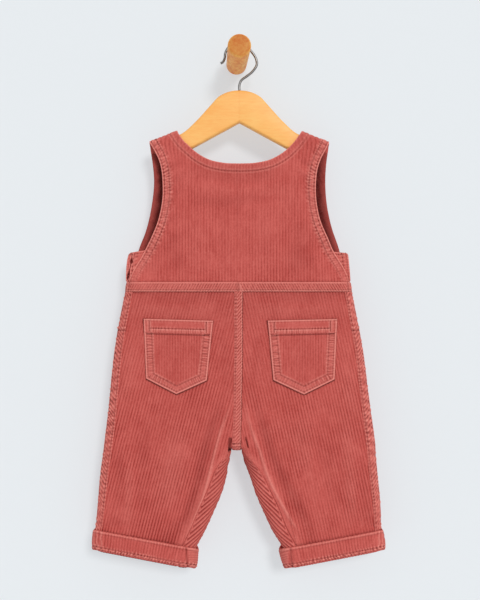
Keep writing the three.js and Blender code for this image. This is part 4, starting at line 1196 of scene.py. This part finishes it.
pocket = {
    "pitch": 3.2, "waleHeight": 0.42, "contrast": 0.5, "thickness": 1.5, "stand": 2.1, "columns": 161,
    "rows": 150, "hem": 11.2, "hemFoot": 16.8, "hemRaise": 0.7, "edgeRow": 3.2, "inset": 9.4, "rim": 0.6,
    "tacks": {"left": (7.4, 8.8), "right": (8.2, 8.8)}, "seed": {"left": 1.0, "right": 2.4},
}
pocketShapes = {
    # the two top corners, the two where the point begins, and the point's drop
    "left": [(-114.3, 315.6), (-31.8, 317.9), (-111.4, 387.2), (-39.3, 389.4), 405.4],
    "right": [(32.8, 317.8), (115.2, 315.8), (39.6, 389), (112.2, 388.2), 405.8],
}


def seatPlace(side, x, drop):
    outerX, innerX = legTable[side](drop)[:2]
    y = legPlace(side, (x - outerX) / (innerX - outerX), drop)[..., 1]
    return np.stack([x, y, -drop], axis=-1)


def pocketEdge(side, out=0.0, down=0.0):
    # round the pocket from one top corner over its point to the other, moved out and its top down
    (x0, z0), (x1, z1), (x2, z2), (x3, z3), tip = pocketShapes[side]
    return [(x0 - out, z0 + down), (x2 - out, z2), ((x2 + x3) / 2, tip + out), (x3 + out, z3),
            (x1 + out, z1 + down)]


def makePocket(side):
    edges, seed = pocketEdge(side, pocket["rim"]), pocket["seed"][side]
    (x0, z0), (x2, z2), (_, tip), (x3, z3), (x1, z1) = edges
    u = np.linspace(0, 1, pocket["columns"])
    v = np.linspace(0, 1, pocket["rows"])[:, None]
    x = lerp(lerp(x0, x1, u), lerp(x2, x3, u), v)
    peak = np.sqrt((2 * u - 1) ** 2 + 0.0009) - 0.03
    drop = lerp(lerp(z0, z1, u), lerp(z2, z3, u) + (tip - (z2 + z3) / 2) * (1 - peak), v)
    x = x - np.sin(math.pi * v) * (u - 0.5) + 0.25 * np.sin(drop / 9 + 1)
    points = seatPlace(side, x, drop)
    normals = gridNormals(points, np.array([0, -1, 0.0]))
    sides, along = distanceTo(edges, x, drop)
    top = drop - lerp(z0, z1, u)
    hem, foot, inset, row = (pocket[key] for key in ("hem", "hemFoot", "inset", "edgeRow"))
    onHem = fade(top, foot - 1.2, foot)
    onSides = (1 - onHem) * fade(drop, z2 - 2, z2 + 6)
    edge = np.minimum(sides, top + 0.3)
    tacks = (x0 + pocket["tacks"][side][0], x1 - pocket["tacks"][side][1])
    between = window(x, (tacks[0], tacks[0] + 1), (tacks[1] - 1, tacks[1]))
    work = 0.9 * stitchRow(sides, along, row, seed, 3.4) * (1 - 0.5 * onHem)
    work += 0.8 * stitchRow(sides, along, inset, seed + 1, 4.2) * (1 - onHem)
    drawn = (0.3 + 0.7 * onSides) * (1 - 0.6 * onHem)
    work += 1.5 * puckers(sides, along, row, inset, seed + 2, 3.0) * drawn
    work += 1.1 * stitchRow(top, x, hem, seed + 3, 3.6) * between
    work += 1.2 * puckers(top, x, hem, foot, seed + 4, 3.2) * between
    work += 0.6 * stitchRow(top, x, 2.4, seed + 5, 3.6)
    # each bar tack sinks in with painted shade, with painted highlight either side
    for tack in tacks:
        bar = window(top, (1.6, 2.8), (foot - 2.4, foot - 1.2))
        work[0] -= 0.5 * bump(x - tack, 0.6) * bar
        work[1] += 0.45 * (bump(x - tack - 1.5, 0.7) + bump(x - tack + 1.5, 0.7)) * bar
        work[2] += 0.5 * bump(x - tack, 0.7) * bar
    belly = 0.9 * np.sin(math.pi * u) * np.sin(math.pi * v)
    work[0] += pocket["stand"] + pocket["hemRaise"] * onHem + belly + 0.2 * unevenness(x, drop, 5)
    work[0] += 0.4 * bump(sides - inset - 1.8, 1.2) * onSides - 1.8 * roll(edge, 1.8)
    # wear with painted highlight on the rolled edge, beside the inner row and under the hem's row; painted
    # shadow in the rim round its edge and below the hem, and painted shade in its rows
    work[1] += 0.85 * bump(edge - 1.5, 0.8) + 0.10 * fade(sides, inset, inset + 1)
    work[1] += 0.3 * bump(sides - inset - 1.7, 0.9) * onSides
    work[1] += (0.45 * bump(top - hem - 1.4, 0.6) + 0.16 * step(top, hem, hem + 1) * onHem) * between
    work[2] += 0.05 + 0.8 * fade(edge, 0.3, 0.95) + 0.65 * bump(top - foot - 1.1, 0.8) * step(sides, 2, 4)
    work[2] += 0.2 * bump(top - hem, 0.5) * between
    work[2] += 0.22 * bump(sides - inset, 0.5) * (1 - onHem) * (1 - 0.6 * onSides)
    made = clothPiece(
        f"pocket_{side}_cloth", pocket, points, normals, work, wales=x,
        raised=1.1 * step(sides, inset, inset + 2) * (1 - onHem), thicker=0.6 * onHem)
    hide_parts(f"pocket_{side}")
    return made


pocketPieces = {side: makePocket(side) for side in bothSides}
print("pockets made")


cuff = {
    "pitch": 3.7, "waleHeight": 0.6, "roundness": 2.2, "contrast": 0.68, "height": 21.5, "rows": 54,
    "spacing": 3.45, "stitches": (18.4, 21.7), "set": 0.35, "drawn": 0.45,
    "left": {
        "lift": 3.4, "inner": 1.2, "innerLow": 3.4, "side": (-171.4, -167.8, -163.6),
        "panel": (-63.0, -52.0), "join": (-64.4, -63.8), "seed": 0.4,
    },
    "right": {
        "lift": 3.0, "inner": -2.9, "innerLow": 0.8, "side": (170.4, 167.2, 163.4),
        "panel": (48.0, 59.6), "join": (60.4, 63.6), "seed": 2.0,
    },
}
cuffProfile = [
    # how far out, how far down, from the seat under the top edge over the outside and in again
    (0.5, 0), (1.2, -0.5), (2.2, -0.7), (3.0, -0.3), (3.5, 0.6), (3.8, 2), (3.95, 4.5), (4.05, 7.5),
    (4.1, 10.5), (4.05, 13.5), (3.9, 16), (3.8, 18), (3.75, 19.6), (3.6, 21.4), (3.1, 22.8), (2.1, 23.5),
    (0.6, 23.7), (-0.8, 23.6), (-1.7, 23.3), (-2.2, 22.4), (-1.2, 21.9), (0.5, 21.8),
]


def onCuff(read, side, turns, down):
    # a leg's place or normal at the cuff's top and foot, and between them by how far down it is
    top, foot = (read(side, turns, legs[level] + 0 * turns) for level in ("cuffTop", "foot"))
    return lerp(top, foot, np.asarray(down / cuff["height"])[..., None])


def cuffGrid(side, shape):
    # each column stands on a wale of the ring; out and down run over the profile
    fine = np.linspace(0, 2, 2400, endpoint=False)
    ring = legPlace(side, fine, legs["cuffTop"] + 0 * fine)
    run = runAlong(np.concatenate([ring, ring[:1]]))
    wales = round(run[-1] / cuff["spacing"])
    count = (np.arange(wales)[:, None] + weave["phases"]).ravel()
    along = count / wales * run[-1]
    turns = np.interp(along, run, np.concatenate([fine, [2.0]])) % 2
    out, down = smoothLine(cuffProfile, cuff["rows"]).T[..., None]
    normals, places = unit(onCuff(legNormal, side, turns, down)), onCuff(legPlace, side, turns, down)
    places[..., 2] += shape["lift"] * step(abs(places[..., 1] - hangY), 1, 12)
    atInner = step(1 - abs(turns - 1), 0.84, 0.99)
    places[..., 0] += atInner * (shape["inner"] + shape["innerLow"] * step(down, 0, 23))
    return places, normals, out + 0 * along, down + 0 * along, along, count * cuff["pitch"]


def makeCuff(side):
    shape = cuff[side]
    seed, (first, second) = shape["seed"], cuff["stitches"]
    places, normals, out, down, along, wales = cuffGrid(side, shape)
    x, along = places[..., 0], along + 0 * down
    onFace = step(out, 2.4, 3.3) * fade(down, 23.0, 23.6)
    lines = sum(bump(x - at - 0.6 * unevenWave(down, 9, k), 0.9) for k, at in enumerate(shape["side"]))
    left, right = shape["panel"]
    panel = window(x, (left, left + 1), (right - 1, right))
    join = bump(x - lerp(*shape["join"], down / 23), 0.7)
    across = unevenWave(down + 0.2 * x, 3.4, seed)
    work = 1.7 * stitchRow(down, along, first, seed, 3.9)
    work += 1.4 * stitchRow(down, along, second, seed + 1, 3.6)
    work += 2.2 * puckers(down, along, first + 0.2, second, seed + 2, 3.8, 0.9)
    work[0] *= cuff["drawn"]
    relief, wear, dark = work
    relief += panel * (0.5 + 0.2 * across) + 0.6 * lines - 0.8 * join
    relief += 0.3 * unevenness(along * 1.7, down, seed)
    relief += 0.25 * bump(down - 0.5, 2.0) * np.sin(2 * math.pi * along / 31) - cuff["set"]
    # wear with painted highlight on the top edge, the side seam's lines and the panel; painted shade in the
    # join, under the top edge and in the panel's hollows
    wear += 0.02 + 0.6 * bump(down - 0.7, 1.0) * (0.8 + 0.2 * unevenWave(along, 4.3, seed))
    wear += 0.45 * lines + panel * (0.14 + 0.2 * clamp(across))
    dark += 0.5 * join + 0.15 * panel * clamp(-across) + 0.25 * bump(down - 2.4, 0.8)
    # painted shade in notches along the top edge
    lip = fade(down, -0.5, 0.1) * clamp(unevenWave(along, 5.1, seed + 3))
    points = places + normals * (out + relief * onFace)[..., None] + np.array([hangX, 0, 0])
    index = np.arange(x.size).reshape(x.shape)
    beside, below = np.roll(index, -1, axis=1), np.roll(index, -1, axis=0)
    faces = np.stack([index, below, np.roll(below, -1, axis=1), beside], axis=-1).reshape(-1, 4)
    if looksInwards(points, normals, onFace[:-1, :-1, None]):
        faces = faces[:, ::-1]
    # the faces off the outer face get a little painted shade
    marks = {
        "wale": wales + 0 * x, "raised": onFace * (1 - 0.7 * panel) * (1 - 0.6 * step(down, 17.5, 18.5)),
        "wear": clamp(wear) * onFace, "dark": clamp(dark) * onFace + 0.1 * (1 - onFace) + 0.6 * lip}
    marks = {key: values.ravel() for key, values in marks.items()}
    marks["out"] = normals.reshape(-1, 3)
    piece = raiseWales(newPiece(f"cuff_{side}_cloth", points.reshape(-1, 3), faces.tolist(), marks), cuff)
    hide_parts(f"cuff_{side}")
    return piece


cuffs = {side: makeCuff(side) for side in bothSides}
print("cuffs made")


placket = {
    "pitch": 3.2, "waleHeight": 0.4, "contrast": 0.5, "thickness": 1.5, "columns": 60, "rows": 72,
    "stand": 2.2, "stitches": (2.4, 7.4), "seed": {"left": 1.0, "right": 2.0},
}
placketShapes = {
    # its free edge and its other edge, from the top down, and how far its corners are rounded
    "left": {"free": [(-133.6, 236.4), (-136.0, 247), (-137.2, 262), (-137.4, 273.4)],
             "other": [(-113.0, 233.6), (-114.0, 246), (-115.0, 260), (-116.0, 273.4)], "corner": 4.0},
    "right": {"free": [(129.8, 237.0), (131.0, 247), (132.2, 260), (133.2, 272.6)],
              "other": [(110.0, 235.4), (110.6, 246), (111.4, 260), (112.0, 272.6)], "corner": 3.0},
}
placketGap = {
    # where the left tab stands away from what is behind it: a line, how wide the gap is at least,
    # and where it is wider: how far down the line, by how much, and for how long
    "line": [(-129.6, 238.6), (-130.2, 244), (-131.4, 251.7), (-133.0, 258.5), (-135.2, 268.5)],
    "least": 0.35, "wider": [(8.5, 1.5, 2.6), (26, 1.3, 5)],
}


def makePlacket(side):
    shape, outward, seed = placketShapes[side], -1 if side == "left" else 1, placket["seed"][side]
    free, other = (smoothLine(shape[key], placket["rows"])[:, None] for key in ("free", "other"))
    u = np.linspace(0, 1, placket["columns"])
    flat = lerp(free, other, u[:, None])
    x, drop = flat[..., 0], flat[..., 1]
    fromEnds = np.minimum(drop - drop[0], drop[-1] - drop)
    x = x - outward * shape["corner"] * roll(fromEnds, shape["corner"]) * (1 - u)
    points = np.stack([x, 0 * x + hangY - placket["stand"], -drop], axis=-1)
    normals = np.broadcast_to([0.0, -1, 0], points.shape)
    away = np.hypot(x - x[:, :1], drop - drop[:, :1])
    first, second = placket["stitches"]
    work = 0.8 * stitchRow(away, drop, first, seed, 3.5)
    work += 1.4 * stitchRow(away, drop, second, seed + 1, 3.8)
    work += 1.3 * puckers(away, drop, second + 0.4, 13, seed + 2, 3.9, 0.2)
    relief, wear, dark = work + stitchRow(fromEnds, x, 3.0, seed + 3, 3.6)
    edge = np.minimum(away, fromEnds)
    relief += 0.25 * unevenness(x, drop, seed) - 1.1 * roll(edge + 0.1, 1.8)
    # wear with painted highlight along the rolled edges, painted shade at its foot
    wear += 0.12 + 0.42 * bump(edge - 0.9, 0.7)
    dark += 0.5 * bump(drop - drop[-1], 1.2)
    apart = 0.0
    if side == "left":
        gap, down = distanceTo(placketGap["line"], x, drop)
        wide = sum(more * bump(down - at, long) for at, more, long in placketGap["wider"])
        wide += placketGap["least"]
        apart = fade(gap, wide * 0.5, wide * 1.2)
        relief -= 1.2 * apart
        # painted shade in the gap behind the tab and near its top corner, painted highlight on the gap's edge
        dark += 0.95 * apart + 0.35 * (x < -129) * fade(fromEnds, 1, 5) * (drop < 250)
        wear = wear * (1 - apart) + 0.4 * bump(gap - wide * 1.2 - 0.9, 0.7)
    made = clothPiece(f"side_placket_{side}_cloth", placket, points, normals, (relief, wear, dark),
                      wales=x + 0.1 * drop, raised=0.6, thicker=-apart)
    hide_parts(f"side_placket_{side}")
    return made


plackets = {side: makePlacket(side) for side in bothSides}


sewing = {
    "spacing": 3.6, "length": 2.6, "thickness": 0.42, "seed": 4, "sample": 1.2, "stand": 0.16, "jump": 2.5,
    # how far each row is from its piece's edge
    "waist": 2.6, "side": 8.6, "pocket": 2.6, "cuff": (18.4, 21.4), "placket": 2.8,
}


def besideLine(line, away):
    # the same line moved sideways, to the left of the way it runs
    line = np.asarray(line, float)
    along = np.diff(line, axis=0)
    left = unit(np.stack([along[:, 1], -along[:, 0]], axis=-1))
    before, after = np.concatenate([left[:1], left]), np.concatenate([left, left[-1:]])
    return line + away * (before + after) / (1 + (before * after).sum(axis=1, keepdims=True))


def layOn(piece, line, way):
    # runs of places where a line of (x, drop) touches a piece's back (-1) or its front (1)
    long = runAlong(line)[-1]
    tree, runs, current = threadTrees[piece.name], [], []
    for x, drop in pointsAt(line, np.linspace(0, long, max(2, round(long / sewing["sample"])))):
        hit = tree.ray_cast(Vector(((x + hangX) * mm, 0.2 * way, -drop * mm)), Vector((0, -way, 0)))[0]
        if hit is None or (current and abs(hit.y / mm - current[-1][1]) > sewing["jump"]):
            runs.append(current)
            current = []
        if hit is not None:
            current.append(np.array(hit) / mm)
    laid = [np.array(places) for places in runs + [current] if len(places) > 4]
    for places in laid:
        padded = np.pad(places[:, 1], 2, mode="edge")
        places[:, 1] = np.convolve(padded, np.full(5, 0.2), "valid") + sewing["stand"] * way
    return laid


def hemLine(side, turns, down):
    place = onCuff(legPlace, side, turns, down)
    return np.stack([place[:, 0], -place[:, 2] - cuff[side]["lift"]], axis=-1)


def sewnLines():
    # each row of stitches: the piece it lies on, its line of (x, drop), and the side it is seen from
    rows = []
    for (face, way), piece in zip(outwards.items(), (backBodice, frontBodice)):
        rows.append((piece, besideLine(neckEdge(face), -bodice["band"]), way))
        for side, inward in (("left", 1), ("right", -1)):
            line = armEdge(face, side, (108, 250))
            rows += [(piece, besideLine(line, inward * away), way) for away in bodice["stitches"]]
    seamDrop = np.linspace(286, 462, 60)
    meeting = sum(legTable[side](seamDrop)[1] for side in bothSides) / 2
    for face, way in outwards.items():
        for drop in (waistband["top"] + sewing["waist"], waistband["foot"] - sewing["waist"]):
            rows.append((waistbands[face], np.array([(-132.0, drop), (128.0, drop)]), way))
        for off in seams["centreRows"]:
            rows.append((centreSeams[face], np.stack([meeting + off, seamDrop], axis=-1), way))
    legDrop, half = np.linspace(288, 562, 60), np.linspace(0.05, 0.95, 90)
    for side, inward in (("left", 1), ("right", -1)):
        edge = legTable[side](legDrop)[0]
        rows.append((sideSeams[side], np.stack([edge + inward * sewing["side"], legDrop], axis=-1), -1))
        for away in (sewing["pocket"], pocket["inset"] - 0.6):
            rows.append((pocketPieces[side], besideLine(pocketEdge(side, down=3), away), -1))
        (x0, z0), (x1, z1) = pocketShapes[side][:2]
        hem = [(x0 + 9, z0 + pocket["hem"]), (x1 - 9, z1 + pocket["hem"])]
        rows.append((pocketPieces[side], np.array(hem), -1))
        for down in sewing["cuff"]:
            rows.append((cuffs[side], hemLine(side, half, down), -1))
            rows.append((cuffs[side], hemLine(side, half + 1, down), 1))
        free = smoothLine(placketShapes[side]["free"], 30)
        rows.append((plackets[side], besideLine(free, inward * sewing["placket"]), -1))
    return rows


def makeThreads():
    points, edges = [], []
    for piece, line, way in sewnLines():
        for places in layOn(piece, line, way):
            edges += [(k, k + 1) for k in range(len(points), len(points) + len(places) - 1)]
            points += places.tolist()
    piece = runNodes(newPiece("sewing_threads", points, [], edges=edges), stitchGroup, {
        "Spacing": sewing["spacing"], "Length": sewing["length"], "Thickness": sewing["thickness"],
        "Seed": sewing["seed"], "Material": threadFinish})
    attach(piece, "root")
    print(piece.name, len(piece.data.polygons), "faces")


sewn = [backBodice, frontBodice]
for group in (waistbands, centreSeams, sideSeams, pocketPieces, cuffs, plackets):
    sewn += group.values()
graph = bpy.context.evaluated_depsgraph_get()
threadTrees = {piece.name: BVHTree.FromObject(piece, graph) for piece in sewn}
makeThreads()


def finishWood(piece, material, node, sharp=180):
    # merges doubled points and points every face outwards, before the calls on the finished piece
    work = bmesh.new()
    work.from_mesh(piece.data)
    bmesh.ops.remove_doubles(work, verts=work.verts, dist=0.00001)
    bmesh.ops.recalc_face_normals(work, faces=work.faces)
    work.to_mesh(piece.data)
    work.free()
    piece.data.set_sharp_from_angle(angle=math.radians(sharp))
    piece.data.materials.append(material)
    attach(piece, "root")
    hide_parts(node)


def ringFaces(count, sides):
    # closed rings of points, one after the other, with a face over each end
    index = np.arange(count * sides).reshape(count, sides)
    beside = np.roll(index, -1, axis=1)
    faces = np.stack([index[:-1], index[1:], beside[1:], beside[:-1]], axis=-1).reshape(-1, 4).tolist()
    return faces + [index[0].tolist(), index[-1][::-1].tolist()]


hanger = {
    "half": 5.8, "round": 3.4, "middle": -0.8, "stations": 150, "end": 3.1,
    "top": [(0, -41.9), (13, -43.6), (24.5, -49.1), (34, -59.1), (52.2, -79), (69, -93.6), (84, -98.6),
            (96.4, -103.6)],
    "notch": (0, -80.6), "under": [(57, -111.7), (93, -121.5), (96, -122.2)],
    "tips": [(0.05, 2.6), (0.45, 2.5), (0.72, 2.1), (0.88, 1.4), (0.97, 0.6)],  # size and how far out
}


def bothArms(arm):
    return np.concatenate([arm[:0:-1] * [-1, 1], arm])


def makeHanger():
    # two arms that meet in the middle: a rounded section is carried along the upper and lower edges
    stations, r, d = hanger["stations"], hanger["round"], hanger["half"]
    crest = smoothLine(bothArms(np.array(hanger["top"])), 2 * stations + 1)
    under = np.concatenate([[hanger["notch"]], smoothLine(hanger["under"], 40)])
    run = runAlong(under)
    last = run[run <= run[-1] - hanger["end"]][-1]
    under = bothArms(pointsAt(under, np.linspace(0, last, stations + 1)))
    tips = len(hanger["tips"])
    shrink, push = np.ones(len(crest)), np.zeros(len(crest))
    for k, (size, out) in enumerate(hanger["tips"]):
        shrink[k] = shrink[-1 - k] = size
        push[k], push[-1 - k] = -out, out
    for line in (crest, under):
        line[:tips], line[-tips:] = line[tips], line[-tips - 1]
    middle, reach = (crest + under) / 2, (crest - under) / 2
    high = np.linalg.norm(reach, axis=1)
    corner, ring = np.linspace(0, math.pi / 2, 6), []
    for up, side, way in ((1, -1, 1), (1, 1, -1), (-1, 1, 1), (-1, -1, -1)):
        for a in corner[::way]:
            tall = reach * ((high - r + r * math.sin(a)) / high * up * shrink)[:, None]
            deep = (d - r + r * math.cos(a)) * side * shrink
            x = middle[:, 0] + tall[:, 0] + push + hanger["middle"] + hangX
            ring.append(np.stack([x, hangY + deep, middle[:, 1] + tall[:, 1]], axis=-1))
    points = np.stack(ring, axis=1)
    x, z = points[..., 0].ravel(), points[..., 2].ravel()
    joint = 0.35 * bump(x - hangX - hanger["middle"] - 0.4 * np.sin(z / 3), 0.8)
    piece = newPiece("hanger_wood", points.reshape(-1, 3), ringFaces(*points.shape[:2]), {"joint": joint})
    finishWood(piece, hangerFinish, "hanger")


hook = {
    "radius": 1.5, "sides": 16,
    "line": [
        (-23.4, -8.6), (-20.7, -7.2), (-18.6, -2.8), (-17.5, 4.2), (-12.6, 12), (-2.7, 15), (7.6, 11.8),
        (14.6, 4.6), (19.3, -3), (20.2, -10.2), (15.3, -18.3), (8.2, -24.2), (1.6, -29.2), (-0.7, -34.8),
        (-0.8, -41.2),
    ],
}


def makeHook():
    x, z = smoothLine(hook["line"], 110).T
    points = np.column_stack([x + hangX, 0 * x + hangY, z])
    piece = newPiece("hook_wire", points, [], edges=[(k, k + 1) for k in range(len(points) - 1)])
    piece = runNodes(piece, wireGroup, {
        "Radius": hook["radius"], "Sides": hook["sides"], "Material": steelFinish})
    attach(piece, "root")
    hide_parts("hook")


peg = {
    "long": 80.0, "base": 12.6, "tip": 13.6, "round": 3.0, "bevel": 0.6, "lean": 3.8, "sides": 72,
    "end": 0.65,  # how much darker its end is
}


def makePeg():
    # turned from a profile of (radius, distance from the wall), with its end a little domed
    long, base, tip, r, bevel = (peg[key] for key in ("long", "base", "tip", "round", "bevel"))
    profile = [(0.01, 0), (base - bevel, 0), (base, bevel)]
    profile += [(lerp(base, tip, t), lerp(bevel, long - r, t)) for t in np.linspace(0.04, 1, 24)]
    quarter = np.linspace(0, math.pi / 2, 9)[1:]
    profile += [(tip - r + r * math.cos(a), long - r + r * math.sin(a)) for a in quarter]
    profile += [(7.5, long + 0.12), (4, long + 0.2), (0.01, long + 0.22)]
    radius, out = np.array(profile).T[..., None]
    turn = np.linspace(0, 2 * math.pi, peg["sides"], endpoint=False)
    x = radius * np.cos(turn) + peg["lean"] * out / long
    points = np.stack([x, 0 * x - out, radius * np.sin(turn)], axis=-1)
    atEnd = peg["end"] * step(out + 0 * turn, long - 1.4, long)
    piece = newPiece("peg_wood", points.reshape(-1, 3), ringFaces(*x.shape), {"joint": atEnd.ravel()})
    finishWood(piece, pegFinish, "peg", sharp=60)


makeHanger()
makeHook()
makePeg()
print("hanger, hook and peg made")


room = {
    "wall": colour(232, 236, 239), "floor": colour(226, 228, 229), "floorDrop": 900.0, "wallBack": 0.6,
    "key": 1.4, "keySpread": 14, "keyFrom": (0.32, -1, 0.42), "wallGlow": 0.58,
    "sky": 0.61, "skyColour": (0.97, 0.99, 1.0),
}
view = {"place": (4.4, -1040.0, -293.7), "lens": 50, "sensor": 36}


def paintedWall(maker):
    # seen from the room only, so that the other views aren't blocked
    dull = maker.add("ShaderNodeBsdfDiffuse", None, {"Color": (*room["wall"], 1)})
    glow = maker.add("ShaderNodeEmission", None, {"Color": (*room["wall"], 1)})
    lit = maker.add("ShaderNodeMixShader", None, [room["wallGlow"], dull[0], glow[0]])
    clear = maker.add("ShaderNodeBsdfTransparent")
    behind = maker.add("ShaderNodeNewGeometry")["Backfacing"]
    return maker.add("ShaderNodeMixShader", None, [behind, lit[0], clear[0]])


def plainFloor(maker):
    return maker.add("ShaderNodeBsdfDiffuse", None, {"Color": (*room["floor"], 1)})


def makeSheet(name, corners, material):
    sheet = newPiece(name, corners, [(0, 1, 2, 3)])
    sheet.data.materials.append(material)
    return sheet


def makeRoom():
    low, back = -room["floorDrop"], room["wallBack"]
    wall = makeSheet("backdrop_wall", [(x, back, z) for x, z in (
        (-3000, low), (3000, low), (3000, 2000), (-3000, 2000))], newMaterial("Painted wall", paintedWall))
    wall.visible_shadow = False
    makeSheet("room_floor", [(x, y, low) for x, y in (
        (-3000, -4000), (3000, -4000), (3000, 2000), (-3000, 2000))], newMaterial("Pale floor", plainFloor))
    scene.world = bpy.data.worlds.new("Soft daylight")
    scene.world.use_nodes = True
    sky = scene.world.node_tree.nodes["Background"]
    sky.inputs["Color"].default_value = (*room["skyColour"], 1)
    sky.inputs["Strength"].default_value = room["sky"]
    key = bpy.data.objects.new("key_light", bpy.data.lights.new("key_light", "SUN"))
    scene.collection.objects.link(key)
    key.data.energy, key.data.angle = room["key"], math.radians(room["keySpread"])
    key.rotation_euler = Vector(room["keyFrom"]).to_track_quat("Z", "Y").to_euler()
    scene.view_settings.view_transform = "Standard"


def makeCamera():
    camera = bpy.data.objects.new("camera", bpy.data.cameras.new("camera"))
    scene.collection.objects.link(camera)
    camera.location = Vector(view["place"]) * mm
    camera.rotation_euler = (math.pi / 2, 0, 0)
    camera.data.lens, camera.data.sensor_fit = view["lens"], "VERTICAL"
    camera.data.sensor_height = view["sensor"]
    scene.camera = camera


makeRoom()
makeCamera()
print("room, light and camera ready")
